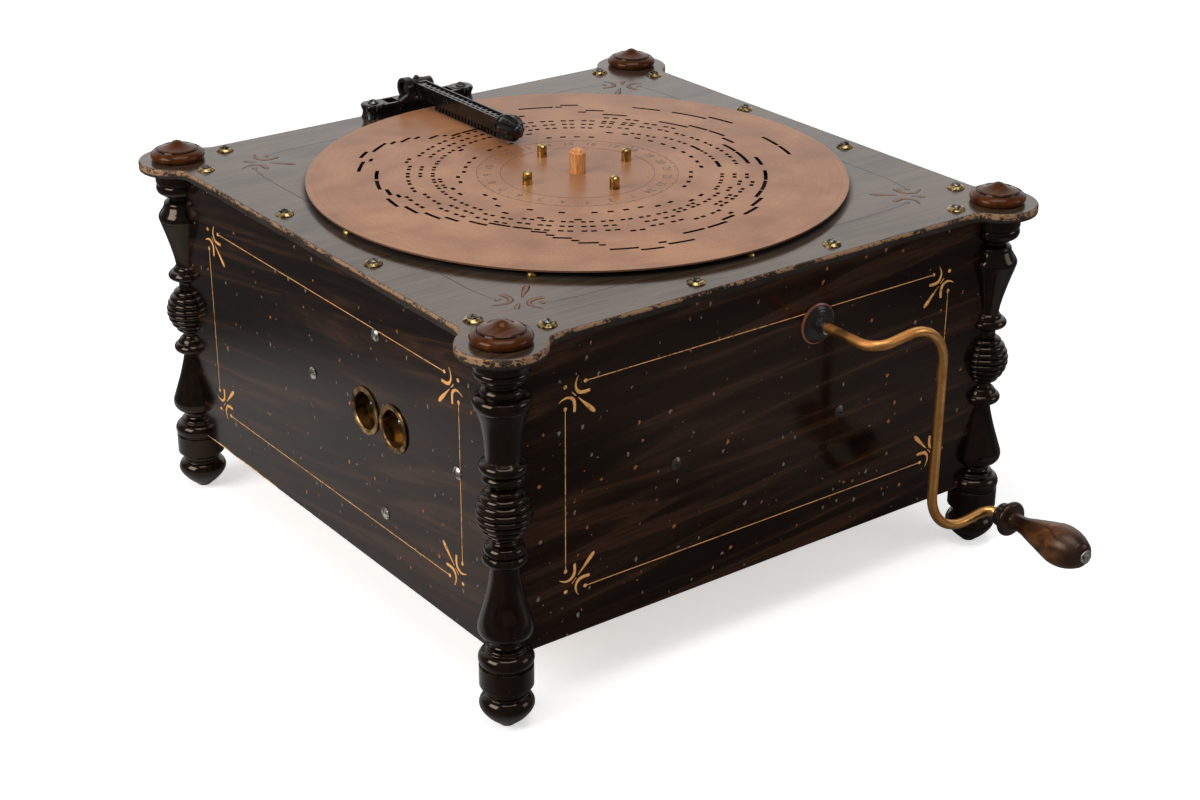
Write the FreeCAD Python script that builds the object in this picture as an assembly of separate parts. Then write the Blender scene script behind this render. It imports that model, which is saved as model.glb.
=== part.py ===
import FreeCAD, Part

# Hand-cranked table organ ("disc music box"): a square case on four turned posts, a perforated card
# disc on a turntable, a hinged pressure arm over the key tips, and a crank that drives the turntable
# through a worm and two air feeders through connecting rods.
#
# Frame: millimetres, +Z up. The origin is on the floor, under the disc's axis. The crank face of the
# case looks along -Y, the face with the two brass cups along -X, and the pressure arm is hinged at
# the +Y edge.

import math
import os

V = FreeCAD.Vector
X, Y, Z = V(1, 0, 0), V(0, 1, 0), V(0, 0, 1)

# ---------------------------------------------------------------- driving dimensions: case
CASE_HALF = 181.0            # outside faces of the panels
POST_AXIS = CASE_HALF - 2.0  # post axes stand at plus and minus this in X and Y
PANEL_THICKNESS = 10.0
CASE_BOTTOM = 41.5           # lower edge of the panels above the floor
TOP_BOARD_UNDER = 222.0      # underside of the top board above the floor
TOP_BOARD_THICKNESS = 6.0
TOP_BOARD_HALF = CASE_HALF + 6.5   # straight edges of the top board
EAR_RADIUS = 24.5            # round ears of the top board over the posts
EAR_FILLET = 11.0            # hollow corner between an ear and a straight edge
TOP_BOARD_ROUNDING = 1.2
BOTTOM_BOARD_THICKNESS = 6.0
BOTTOM_BOARD_RECESS = 2.0
SEAT_GAP = 0.1               # radial room round a peg, screw or bush that doesn't turn
RUNNING_GAP = 0.05           # radial room round a shaft or pin that turns
SOFT_GAP = 0.3               # room round leather and pads, and under sprung or resting pieces

# posts and caps
POST_RADIUS = 15.5
TENON_RADIUS = 5.0
TENON_ENTRY = 4.0            # how far the tenon stands up into the cap
CAP_RADIUS = 16.7
CAP_HEIGHT = 12.0
CAP_GROOVE_RADIUS = 12.0
SPHERE_RIBS = 7
RIB_RISE = 1.1               # how far each bead stands out from the ball's round outline

# screws through the top board
TOP_SCREW_LINE = CASE_HALF - 5.5     # distance of the screw rows from the centre
TOP_SCREW_CORNER = CASE_HALF - 33.0  # the row's outermost screws
TOP_SCREW_SHANK = 1.6
TOP_SCREW_HEAD = 2.75
TOP_SCREW_LENGTH = 18.0
CUP_WASHER_RADIUS = 5.4
CUP_WASHER_HEIGHT = 1.8
SCREW_SLOT = 0.7

# screws through the panels into the inner battens, as (place along the panel, height)
PANEL_SCREWS_FRONT = [(-65.0, 126.0), (57.0, 124.0)]
PANEL_SCREWS_LEFT = [(16.0, 140.0), (-138.0, 137.0), (-61.0, 80.0), (-58.0, 190.0)]
PANEL_SCREWS_RIGHT = [(-80.0, 139.0), (80.0, 139.0), (0.0, 80.0)]
PANEL_SCREWS_BACK = [(10.0, 125.0), (90.0, 125.0)]
PANEL_SCREW_SHANK = 1.5
PANEL_SCREW_HEAD = 3.8
PANEL_SCREW_DOME = 2.0
PANEL_SCREW_ENTRY = 8.0
BATTEN_DEPTH = 12.0
BATTEN_HEIGHT = 14.0
BATTEN_REACH = 24.0          # how far a batten runs on past its outermost screws

# brass cups in the left panel
CUP_PLACES = [-43.8, -74.0]  # along Y
CUP_HEIGHT = 138.5
CUP_RIM_RADIUS = 14.4
CUP_INNER_RADIUS = 11.2
CUP_WALL = 0.9
CUP_DEPTH = 7.0
CUP_RIM_THICKNESS = 1.3
CUP_SCREW_RADIUS = 1.5
CUP_SCREW_OFFSET = 6.0

# ---------------------------------------------------------------- driving dimensions: disc and turntable
DISC_RADIUS = CASE_HALF - 16.0
DISC_THICKNESS = 1.0
DISC_RISE = 3.4              # underside of the disc above the top board
TRACKS = 24
TRACK_FIRST = 65.5           # radius of the innermost track
TRACK_MARGIN = 12.6          # from the outermost track to the disc's rim
TRACK_PITCH = (DISC_RADIUS - TRACK_MARGIN - TRACK_FIRST) / (TRACKS - 1)
SLOT_WIDTH = 2.4
# the tune: one sign for each bar in the two strings, and the melody as (track, start, sweep) in degrees
BASS = "333344111144" "111511112244" "113525252222" "335511113333"
CHORDS = "aabbccdddddd" "dddddeddffgg" "ddhhiddddedd" "jjkkdld-maam"
CHORD_TRACKS = {"a": (6, 9), "b": (5, 9, 11), "c": (7, 9, 10, 12), "d": (6, 8, 10), "e": (6, 11),
                "f": (5, 6, 10), "g": (6, 9, 12), "h": (7, 9), "i": (6, 8), "j": (6, 7, 11),
                "k": (7, 9, 10), "l": (6, 9, 11), "m": (9,), "-": ()}
MELODY = [(14, 1.1, 6.9), (14, 8.6, 7.5), (13, 15.0, 11.1), (20, 8.0, 8.1), (19, 15.8, 10.9),
          (19, 30.3, 8.0), (14, 37.8, 8.0), (16, 45.8, 5.6), (15, 51.1, 2.5), (19, 53.6, 5.0),
          (18, 58.3, 1.9), (18, 60.8, 10.0), (14, 70.8, 2.0), (13, 73.4, 6.6), (12, 80.6, 7.4),
          (11, 88.6, 9.1), (11, 98.3, 4.2), (12, 102.8, 1.9), (13, 105.0, 4.4), (15, 109.4, 2.6),
          (16, 111.7, 5.0), (17, 116.7, 2.7), (18, 119.2, 8.0), (19, 127.5, 5.3), (17, 132.8, 2.5),
          (18, 135.6, 8.3), (15, 143.0, 7.6), (15, 151.7, 7.7), (14, 159.7, 5.3), (13, 165.0, 2.8),
          (15, 167.2, 7.5), (14, 175.5, 7.0), (13, 183.3, 7.0), (12, 190.3, 5.5), (11, 198.3, 6.7),
          (10, 204.4, 7.6), (10, 212.8, 6.6), (11, 219.4, 5.0), (12, 224.4, 2.6), (13, 226.7, 5.5),
          (14, 232.0, 2.2), (15, 233.9, 5.5), (16, 239.2, 1.8), (18, 241.4, 7.2), (19, 248.6, 5.8),
          (17, 254.2, 2.2), (18, 256.1, 7.2), (15, 263.0, 7.0), (15, 271.1, 7.2), (14, 278.3, 5.3),
          (13, 283.6, 2.0), (15, 285.8, 7.2), (14, 293.0, 7.6), (13, 300.6, 6.2), (13, 307.4, 8.6),
          (13, 316.6, 9.0), (13, 330.8, 7.8), (19, 338.3, 7.3), (19, 346.4, 7.8), (13, 353.9, 6.0),
          (11, 332.8, 12.6), (11, 346.0, 8.2), (6, 330.3, 7.5), (6, 353.0, 6.6)]
TURNTABLE_RADIUS = 52.0
TURNTABLE_THICKNESS = 2.5
SPINDLE_RADIUS = 5.0
SPINDLE_FOOT = TOP_BOARD_UNDER - 66.0
SPINDLE_COLLAR_RADIUS = 8.0
SPINDLE_COLLAR_HEIGHT = 5.0
PEG_RADIUS = 5.0
PEG_RISE = 15.5              # wooden peg above the disc
PEG_NECK = 0.2               # how much thinner peg and pins are where they pass the disc
DRIVE_PIN_CIRCLE = 37.4
DRIVE_PIN_RADIUS = 3.0
DRIVE_PIN_RISE = 7.5
DRIVE_PIN_COUNT = 4
DRIVE_PIN_TURN = 0.0         # the pins' turn from the X axis, in degrees
STUD_CIRCLE = DISC_RADIUS - 3.0    # brass studs that the disc's rim runs over
STUD_RADIUS = 3.0
STUD_COUNT = 8
STUD_SHANK = 1.4
SPINDLE_BUSH_RADIUS = 8.0
BUSH_FLANGE = 3.0            # how far a bush's flange stands out from its sleeve
BUSH_FLANGE_THICKNESS = 1.5

# ---------------------------------------------------------------- driving dimensions: crank and gear
SHAFT_X = 35.8
SHAFT_Z = TOP_BOARD_UNDER - 37.0
SHAFT_RADIUS = 4.0
SHAFT_FRONT_END = -CASE_HALF - 9.0
SHAFT_REAR_END = 116.0
WORM_PITCH_RADIUS = 8.3
WHEEL_TEETH = 36
WORM_TURNS = 5
WORM_LENGTH = 30.0
TOOTH_BACKLASH = 0.6
ADDENDUM = 1.4
DEDENDUM = 1.75
PRESSURE_ANGLE = 20.0
WHEEL_WIDTH = 8.0
WHEEL_BOSS_RADIUS = 11.0
WHEEL_BOSS_HEIGHT = 16.0
THROW = 7.0                  # offset of each crank throw
THROW_PIN_RADIUS = 3.0
THROW_CHEEK = 4.0
THROW_HALF_GAP = 3.5
ROD_PLACE = 81.0             # the throws stand at plus and minus this in Y
ESCUTCHEON_RADIUS = 12.3
ESCUTCHEON_RISE = 3.4
FRONT_BUSH_RADIUS = 7.0
CRANK_PLANE = SHAFT_FRONT_END - 38.5   # the bent rod's plane
CRANK_ROD_RADIUS = 3.0
CRANK_SPIGOT_RADIUS = 2.0
CRANK_SPIGOT_LENGTH = 8.0
GRIP_X = 141.0
GRIP_Z = SHAFT_Z - 131.0
CRANK_DROP_X = 90.3          # the rod's long straight drop
CRANK_TOP_Z = SHAFT_Z + 6.0
CRANK_LOW_Z = GRIP_Z - 5.5
CRANK_BENDS = [12.0, 25.0, 27.0, 8.0]
GRIP_START = CRANK_PLANE - 9.0
GRIP_LENGTH = 66.5
GRIP_FERRULE_LENGTH = 6.0
GRIP_FERRULE_RADIUS = 7.3
GRIP_WASHER_RADIUS = 4.4
GRIP_WASHER_THICKNESS = 1.2

# cast frame under the top board that carries the worm and the spindle's foot
FRAME_LEG = 38.0
FRAME_PLATE = 5.0
FRAME_LOW_X = -10.0
FRAME_HIGH_X = 48.0
FRAME_FLANGE = 12.0
REAR_BEARING_Y = 111.0
REAR_BEARING_THICKNESS = 6.0
REAR_BEARING_HALF = 9.0
FRAME_SCREW_SHANK = 1.9
FRAME_SCREW_HEAD = 3.6
FRAME_SCREW_ENTRY = 4.5

# ---------------------------------------------------------------- driving dimensions: pressure arm
ARM_HINGE_Y = CASE_HALF + 1.5
ARM_HINGE_Z = TOP_BOARD_UNDER + TOP_BOARD_THICKNESS + 14.5
ARM_BARREL_RADIUS = 5.8
ARM_HALF_WIDTH = 4.7
ARM_TOP = ARM_HINGE_Z + 4.5
ARM_UNDER = ARM_TOP - 9.0
ARM_BAR_END = 80.0
ARM_RAIL = 1.1
ARM_WINDOWS = 16             # in each of the two rows
ARM_WINDOW_DEPTH = 4.5
ARM_WINDOW_BAR = 1.5         # bar left between two windows of a row
ARM_MIDDLE_RIB = 1.4         # rib between the two rows
ARM_COMB_HALF = 3.4
ARM_COMB_GAP = 0.8           # comb teeth above the disc
ARM_COMB_SLOT = 1.7
KNOB_RADIUS = 8.6
KNOB_FLUTES = 8
FLUTE_RADIUS = 2.2
LEFT_CHEEK_RADIUS = 7.2      # the cheek on the cups' side is the larger one
RIGHT_CHEEK_RADIUS = 5.4
BRACKET_CHEEK_INNER = ARM_HALF_WIDTH + 0.6
BRACKET_CHEEK = 5.4
CHEEK_DISH_RADIUS = 4.6      # the hollow round the hinge pin's end, in the larger cheek
CHEEK_DISH_DEPTH = 3.0
CREST_RADIUS = 2.0           # the round boss on the arm's barrel
LUG_X = 34.6
LUG_Y = CASE_HALF + 0.5
LUG_RADIUS = 8.2
LUG_HEIGHT = 9.5
LUG_FLUTES = 8
LUG_FLUTE_RADIUS = 1.8
LUG_FLUTE_DEPTH = 0.9
LEAF_BOW = 9.0               # radius of the two edges of the leaf in each channel
LEAF_HALF_WIDTH = 2.4
LEAF_RISE = 1.8
BRACKET_BAR_HEIGHT = 9.0
BRACKET_BAR_HALF = 7.0
BRACKET_BAR_WALL = 1.8
BRACKET_CHANNEL = 4.6        # depth of the channel between the bar's walls
GUSSET = 7.0                 # reach of the flare from each cheek down to the bar
HINGE_PIN_RADIUS = 2.5

# ---------------------------------------------------------------- driving dimensions: keys, reeds and chest
KEY_THICKNESS = 1.6
KEY_TIP_LENGTH = 3.0         # along X
KEY_REST_GAP = 1.8           # key tips below the disc when the card holds them down
KEY_LEVER_LOW = TOP_BOARD_UNDER - 14.0
KEY_LEVER_HEIGHT = 5.0
KEY_PIVOT_X = -85.0
KEY_PIVOT_RADIUS = 1.0
KEY_RAIL_HALF = 7.0
KEY_RAIL_HEIGHT = 7.4
KEY_RAIL_EAR = 3.0
GUIDE_HALF = 6.0
GUIDE_THICKNESS = 1.0
GUIDE_SLOT_ROOM = 0.8        # room round a key tip along X
PALLET_X = -50.0
PALLET_HALF = 7.0
PALLET_THICKNESS = 3.0
REED_BLOCK_HALF = 14.0
REED_BLOCK_HEIGHT = 21.7
REED_HOLE_HALF = 5.0
REED_PLATE_THICKNESS = 1.2
REED_PLATE_HALF = 8.6
REED_TONGUE_HALF = 6.5
CHEST_WALL = 5.0
SPRING_STRIP = 1.2
SPRING_GAUGE = 0.4

# ---------------------------------------------------------------- driving dimensions: bellows
WIND_BOARD_LOW = CASE_BOTTOM + 33.5
WIND_BOARD_THICKNESS = 10.0
FEEDER_HINGE_X = CASE_HALF - 21.0
FEEDER_FREE_X = 22.0
FEEDER_INNER_Y = 6.0
FEEDER_WIDTH = CASE_HALF - 31.0
FEEDER_THICKNESS = 8.0
FEEDER_LIFT = 2.0            # room for the folded leather at the hinge
FEEDER_OPEN = 6.4            # opening angle at rest, in degrees
FORK_PIVOT_Z = WIND_BOARD_LOW + WIND_BOARD_THICKNESS + 48.0
FORK_CHEEK = 3.0
FORK_HALF_GAP = 5.5
FORK_HALF_WIDTH = 6.0
ROD_PIN_RADIUS = 2.4
ROD_PIN_HALF = 4.5
ROD_HALF_THICKNESS = 2.5
ROD_HALF_WIDTH = 4.0
ROD_BIG_EYE = 7.5
ROD_SMALL_EYE = 5.2
LEATHER = 2.5
LEATHER_INSET = 3.0
LEATHER_FOLD = 6.0
RESERVOIR_HALF = CASE_HALF - 23.0
RESERVOIR_THICKNESS = 7.0
RESERVOIR_GAP = 2.0
BOW_SPAN = 90.0              # bowed flat springs under the reservoir
BOW_WIDTH = 14.0
BOW_THICKNESS = 1.2
BOW_FOOT = 12.0
BOW_PLACE_X = 80.0
BOW_PLACE_Y = 80.0
AIR_HOLE = 5.0
AIR_HOLE_PITCH = 34.0
FEEDER_HOLE_IN = 40.0        # the feeder's intake holes from its hinge
WIND_HOLE_IN = 50.0          # the holes through the wind board from the feeder's free edge

# ---------------------------------------------------------------- heights and places worked out from those
TOP = TOP_BOARD_UNDER + TOP_BOARD_THICKNESS
DISC_UNDER = TOP + DISC_RISE
DISC_TOP = DISC_UNDER + DISC_THICKNESS
INSIDE = CASE_HALF - PANEL_THICKNESS
BOTTOM_LOW = CASE_BOTTOM + BOTTOM_BOARD_RECESS
BOTTOM_TOP = BOTTOM_LOW + BOTTOM_BOARD_THICKNESS
WIND_TOP = WIND_BOARD_LOW + WIND_BOARD_THICKNESS
WHEEL_PITCH_RADIUS = SHAFT_X - WORM_PITCH_RADIUS
AXIAL_PITCH = 2 * math.pi * WHEEL_PITCH_RADIUS / WHEEL_TEETH
LEAD_ANGLE = math.atan2(AXIAL_PITCH, 2 * math.pi * WORM_PITCH_RADIUS)
TRACK_RADII = [TRACK_FIRST + TRACK_PITCH * i for i in range(TRACKS)]
TRACK_LAST = TRACK_RADII[-1]
BOARD_SLOT_HALF = KEY_TIP_LENGTH / 2 + GUIDE_SLOT_ROOM
KEY_TIP_TOP = DISC_UNDER - KEY_REST_GAP
KEY_PIVOT_Z = KEY_LEVER_LOW + KEY_LEVER_HEIGHT / 2
REED_BLOCK_TOP = KEY_LEVER_LOW - PALLET_THICKNESS - SOFT_GAP
REED_BLOCK_LOW = REED_BLOCK_TOP - REED_BLOCK_HEIGHT
CHEST_FRONT = TRACK_FIRST - 8.0
CHEST_BACK = TRACK_LAST + 8.0
FEEDER_HINGE_Z = WIND_TOP + FEEDER_LIFT
CORNERS = [("front_left", -1, -1), ("front_right", 1, -1), ("back_left", -1, 1), ("back_right", 1, 1)]


# ---------------------------------------------------------------- small helpers
def box(x0, x1, y0, y1, z0, z1):
    """A block between two corners."""
    return Part.makeBox(x1 - x0, y1 - y0, z1 - z0, V(x0, y0, z0))


def rod(radius, length, at, axis=Z):
    """A cylinder that starts at a point and runs along an axis."""
    return Part.makeCylinder(radius, length, at, axis)


def tube(outer, inner, length, at, axis=Z):
    """A cylinder with a bore."""
    return rod(outer, length, at, axis).cut(rod(inner, length, at, axis))


def fused(shapes):
    """One solid from several that touch or overlap."""
    return shapes[0].multiFuse(shapes[1:]).removeSplitter() if len(shapes) > 1 else shapes[0]


def cut_all(shape, tools):
    """A shape less a list of tools."""
    return shape.cut(Part.makeCompound(tools)) if tools else shape


def turned(path, start):
    """A solid of revolution about Z. path holds (r, z) for a line or (r_mid, z_mid, r, z) for an arc."""
    edges, here = [], V(start[0], 0, start[1])
    for step in path:
        end = V(step[-2], 0, step[-1])
        if len(step) == 4:
            edges.append(Part.Arc(here, V(step[0], 0, step[1]), end).toShape())
        else:
            edges.append(Part.LineSegment(here, end).toShape())
        here = end
    edges.append(Part.LineSegment(here, V(start[0], 0, start[1])).toShape())
    return Part.Face(Part.Wire(edges)).revolve(V(0, 0, 0), Z, 360)


def crown(radius, z, top):
    """The last step of a turned outline: a round crown from (radius, z) up to the axis at top."""
    rise = top - z
    sphere = (radius ** 2 + rise ** 2) / (2 * rise)
    half_angle = math.atan2(radius, sphere - rise) / 2
    return sphere * math.sin(half_angle), top - sphere * (1 - math.cos(half_angle)), 0, top


def prism(points, thickness, normal):
    """A closed polygon pushed along its normal."""
    corners = [V(*p) for p in points]
    face = Part.Face(Part.makePolygon(corners + corners[:1]))
    return face.extrude(normal * thickness)


def along_minus_y(shape, x, y, z):
    """A shape made about +Z, laid down so that +Z points along -Y, with its base at (x, y, z)."""
    laid = shape.copy()
    laid.rotate(V(0, 0, 0), X, 90)
    laid.translate(V(x, y, z))
    return laid


def bent_wire(corners, bends):
    """A wire of straight runs joined by tangent arcs, one bend radius for each inner corner."""
    edges, here = [], corners[0]
    for i, bend in enumerate(bends):
        corner, after = corners[i + 1], corners[i + 2]
        back, ahead = (here - corner).normalize(), (after - corner).normalize()
        turn = math.pi - back.getAngle(ahead)
        reach = bend * math.tan(turn / 2)
        first, last = corner + back * reach, corner + ahead * reach
        inward = (back + ahead).normalize()
        middle = corner + inward * (bend / math.cos(turn / 2) - bend)
        edges.append(Part.LineSegment(here, first).toShape())
        edges.append(Part.Arc(first, middle, last).toShape())
        here = last
    edges.append(Part.LineSegment(here, corners[-1]).toShape())
    return Part.Wire(edges)


def slotted_head(radius, height, shank, length, slot):
    """A round-head wood screw about +Z: the head stands above z = 0, the shank runs below it."""
    head = turned([(radius, 0), (radius, height * 0.2), crown(radius, height * 0.2, height)], (0, 0))
    screw = fused([head, rod(shank, length, V(0, 0, -length))])
    return screw.cut(box(-radius, radius, -slot / 2, slot / 2, height * 0.45, height + 1))


def save(node, solids):
    """Write one node. solids is a shape or a list of separate shapes."""
    shape = Part.makeCompound(solids) if isinstance(solids, list) else solids
    shape.exportStep("parts/%s.step" % node)


# ---------------------------------------------------------------- case
def post_profile():
    """The turned outline of a post, drawn from the floor up and later stretched to the top board."""
    path = [(7.2, 0), (7.4, 4.6), (8.2, 5.2), (12.9, 8.6, 14.7, 14.0), (14.8, 18.4, 13.6, 22.6)]
    path += [(POST_RADIUS, 24.0), (POST_RADIUS, 33.0), (14.7, 33.4), (15.6, 37.0, 14.7, 40.6)]
    path += [(11.2, 43.8, 9.1, 48.8), (8.8, 50.2), (9.5, 50.8)]
    path += [(13.6, 54.0, 15.9, 59.4), (16.0, 62.6, 15.2, 65.6), (7.3, 90.6)]
    path += [(6.6, 92.6, 6.4, 94.8), (7.0, 95.2), (11.6, 100.0, 7.0, 105.0), (6.0, 106.6), (6.0, 110.0)]
    low, high, waist, belly = 110.5, 143.0, 5.9, 14.2
    middle, half = (low + high) / 2, (high - low) / 2
    step = (high - low) / SPHERE_RIBS

    def envelope(z):
        share = max(0.0, 1 - ((z - middle) / (half * 1.02)) ** 2)
        return waist + (belly - waist) * math.sqrt(share)

    path.append((envelope(low), low))
    for i in range(SPHERE_RIBS):
        z0 = low + i * step
        middle_of_rib, end = z0 + step / 2, z0 + step
        path.append((envelope(middle_of_rib) + RIB_RISE, middle_of_rib, envelope(end), end))
    path += [(5.6, 143.6), (5.6, 145.6), (6.2, 146.0), (11.4, 151.0, 6.7, 156.0), (6.4, 156.8)]
    path.append((15.0, 187.0))
    path += [(15.3, 190.0, 14.0, 193.2), (6.6, 200.2), (6.6, 200.8), (10.8, 203.2, 13.4, 205.2)]
    path += [(14.9, 207.2, 13.7, 209.2), (14.2, 210.0), (15.4, 212.2, 14.3, 214.4), (15.2, 215.0)]
    path.append((15.2, 222.0))
    return path


def make_posts():
    """Four turned posts, each notched to sit over a corner of the case."""
    outline = post_profile()
    stretch = TOP_BOARD_UNDER / outline[-1][1]
    path = [tuple(v * stretch if i % 2 else v for i, v in enumerate(step)) for step in outline]
    tenon_top = TOP + TENON_ENTRY
    path += [(TENON_RADIUS, TOP_BOARD_UNDER), (TENON_RADIUS, tenon_top), (0, tenon_top)]
    post = turned(path, (0, 0))
    for name, sx, sy in CORNERS:
        placed = post.copy()
        placed.translate(V(sx * POST_AXIS, sy * POST_AXIS, 0))
        xs, ys = sorted([0, sx * CASE_HALF]), sorted([0, sy * CASE_HALF])
        placed = placed.cut(box(xs[0], xs[1], ys[0], ys[1], CASE_BOTTOM, TOP_BOARD_UNDER))
        save("post_%s" % name, placed)


def make_caps():
    """Domed mahogany caps over the tenons, each with a ring groove and a pointed crown."""
    bore = TENON_RADIUS + SEAT_GAP
    deep = TENON_ENTRY + SEAT_GAP
    groove = CAP_GROOVE_RADIUS
    path = [(CAP_RADIUS - 2.0, 0), (CAP_RADIUS - 1.2, 1.2), (CAP_RADIUS, 3.2, CAP_RADIUS - 0.6, 5.0)]
    path += [(CAP_RADIUS - 2.2, 7.4, groove + 0.4, 8.2), (groove, 7.5), (groove - 0.9, 8.4)]
    path += [(groove * 0.55, 9.4, 2.4, 11.5), crown(2.4, 11.5, CAP_HEIGHT), (0, deep), (bore, deep)]
    cap = turned(path, (bore, 0))
    caps = []
    for _, sx, sy in CORNERS:
        placed = cap.copy()
        placed.translate(V(sx * POST_AXIS, sy * POST_AXIS, TOP))
        caps.append(placed)
    save("post_caps", caps)


def panel_screw_places():
    """Every panel screw as (point on the panel's outer face, inward direction)."""
    places = [(V(x, -CASE_HALF, z), Y) for x, z in PANEL_SCREWS_FRONT]
    places += [(V(x, CASE_HALF, z), Y * -1) for x, z in PANEL_SCREWS_BACK]
    places += [(V(-CASE_HALF, y, z), X) for y, z in PANEL_SCREWS_LEFT]
    places += [(V(CASE_HALF, y, z), X * -1) for y, z in PANEL_SCREWS_RIGHT]
    return places


def panel_screw_holes():
    """Holes for the panel screws, through the panel and into what is behind it."""
    length = PANEL_THICKNESS + PANEL_SCREW_ENTRY + SEAT_GAP
    return [rod(PANEL_SCREW_SHANK + SEAT_GAP, length, at, inward) for at, inward in panel_screw_places()]


def top_screw_places():
    """The screws round the top board. The back row has none where the arm's bracket stands."""
    inner = TOP_SCREW_CORNER / 3
    row = [-TOP_SCREW_CORNER, -inner, inner, TOP_SCREW_CORNER]
    places = [V(side * TOP_SCREW_LINE, a, 0) for side in (-1, 1) for a in row]
    places += [V(a, -TOP_SCREW_LINE, 0) for a in row]
    places += [V(a, TOP_SCREW_LINE, 0) for a in (row[0], row[-1])]
    return places


def top_screw_holes():
    """Holes for the top screws, through the top board and down into the panels' upper edges."""
    low = TOP - TOP_SCREW_LENGTH - SEAT_GAP
    depth = TOP + CUP_WASHER_HEIGHT - low
    return [rod(TOP_SCREW_SHANK + SEAT_GAP, depth, V(p.x, p.y, low)) for p in top_screw_places()]


def make_panels():
    """Four case panels: front and back run the full width, the sides fit between them."""
    h, i, low, high = CASE_HALF, INSIDE, CASE_BOTTOM, TOP_BOARD_UNDER
    holes = panel_screw_holes() + top_screw_holes()
    bush = rod(FRONT_BUSH_RADIUS + SEAT_GAP, PANEL_THICKNESS, V(SHAFT_X, -h, SHAFT_Z), Y)
    save("front_panel", cut_all(box(-h, h, -h, -i, low, high), holes + [bush]))
    save("back_panel", cut_all(box(-h, h, i, h, low, high), holes))
    cup_outer, cup_depth = CUP_INNER_RADIUS + CUP_WALL, CUP_DEPTH + CUP_WALL
    pockets = [rod(cup_outer + SEAT_GAP, cup_depth + SEAT_GAP, V(-h, y, CUP_HEIGHT), X) for y in CUP_PLACES]
    save("left_panel", cut_all(box(-h, -i, -i, i, low, high), holes + pockets))
    save("right_panel", cut_all(box(i, h, -i, i, low, high), holes))
    save("bottom_board", box(-i, i, -i, i, BOTTOM_LOW, BOTTOM_TOP))


def make_battens():
    """Wooden battens inside the panels, where the panel screws hold them."""
    i, d, half = INSIDE, BATTEN_DEPTH, BATTEN_HEIGHT / 2
    front_z, back_z = PANEL_SCREWS_FRONT[0][1] - 1, PANEL_SCREWS_BACK[0][1]
    left_z, right_z = PANEL_SCREWS_LEFT[0][1] - 1.5, PANEL_SCREWS_RIGHT[0][1]

    def span(places):
        """Where a batten starts and ends along the panel, past its screws."""
        along = [a for a, height in places]
        return min(along) - BATTEN_REACH, max(along) + BATTEN_REACH

    front, back = span(PANEL_SCREWS_FRONT), span(PANEL_SCREWS_BACK)
    left, right, upper = span(PANEL_SCREWS_LEFT[:2]), span(PANEL_SCREWS_RIGHT), span(PANEL_SCREWS_LEFT[3:])
    upper_z = PANEL_SCREWS_LEFT[3][1]
    battens = [
        box(front[0], front[1], -i, -i + d, front_z - half, front_z + half),
        box(back[0], back[1], i - d, i, back_z - half, back_z + half),
        box(-i, -i + d, max(left[0], -i + d), left[1], left_z - half, left_z + half),
        box(i - d, i, right[0], right[1], right_z - half, right_z + half),
        box(-i, -i + d, upper[0], upper[1], upper_z - half, upper_z + half),
    ]
    holes = panel_screw_holes()
    save("panel_battens", [cut_all(b, holes) for b in battens])


def make_panel_screws():
    """Steel round-head screws that show on the panels."""
    length = PANEL_THICKNESS + PANEL_SCREW_ENTRY
    screws = []
    for at, inward in panel_screw_places():
        screw = slotted_head(PANEL_SCREW_HEAD, PANEL_SCREW_DOME, PANEL_SCREW_SHANK, length, SCREW_SLOT)
        screw.Placement = FreeCAD.Placement(at, FreeCAD.Rotation(Z, inward * -1))
        screws.append(screw)
    save("panel_screws", screws)


def board_outline():
    """The top board's outline as a solid: a square with a round ear at each corner."""
    half, low = TOP_BOARD_HALF, TOP_BOARD_UNDER
    shapes = [box(-half, half, -half, half, low, TOP)]
    shapes += [rod(EAR_RADIUS, TOP_BOARD_THICKNESS, V(sx * POST_AXIS, sy * POST_AXIS, low))
               for _, sx, sy in CORNERS]
    blank = fused(shapes)
    hollow = []
    for edge in blank.Edges:
        a, b = edge.Vertexes[0].Point, edge.Vertexes[-1].Point
        upright = abs(a.x - b.x) < 1e-6 and abs(a.y - b.y) < 1e-6 and abs(a.z - b.z) > 1
        on_edge = min(abs(abs(a.x) - half), abs(abs(a.y) - half)) < 1e-6
        if upright and on_edge:
            hollow.append(edge)
    blank = blank.makeFillet(EAR_FILLET, hollow)
    rim = [e for e in blank.Edges if abs(e.BoundBox.ZMax - e.BoundBox.ZMin) < 1e-6]
    return blank.makeFillet(TOP_BOARD_ROUNDING, rim)


def make_top_board():
    """The top board with holes for tenons, screws, studs, spindle bush and keys."""
    low, t = TOP_BOARD_UNDER, TOP_BOARD_THICKNESS
    tools = top_screw_holes()
    tools += [rod(TENON_RADIUS + SEAT_GAP, t, V(sx * POST_AXIS, sy * POST_AXIS, low))
              for _, sx, sy in CORNERS]
    tools += [rod(STUD_SHANK + SEAT_GAP, t, V(p.x, p.y, low)) for p in stud_places()]
    tools += [rod(SPINDLE_BUSH_RADIUS + SEAT_GAP, t, V(0, 0, low))]
    tools += [box(-BOARD_SLOT_HALF, BOARD_SLOT_HALF, TRACK_FIRST - 3, TRACK_LAST + 3, low, TOP)]
    tools += [rod(FRAME_SCREW_SHANK + SEAT_GAP, t, V(s * LUG_X, LUG_Y, low)) for s in (-1, 1)]
    tools += [rod(FRAME_SCREW_SHANK + SEAT_GAP, FRAME_SCREW_ENTRY + SEAT_GAP, V(p.x, p.y, low))
              for p in frame_screw_places()]
    save("top_board", cut_all(board_outline(), tools))


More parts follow.
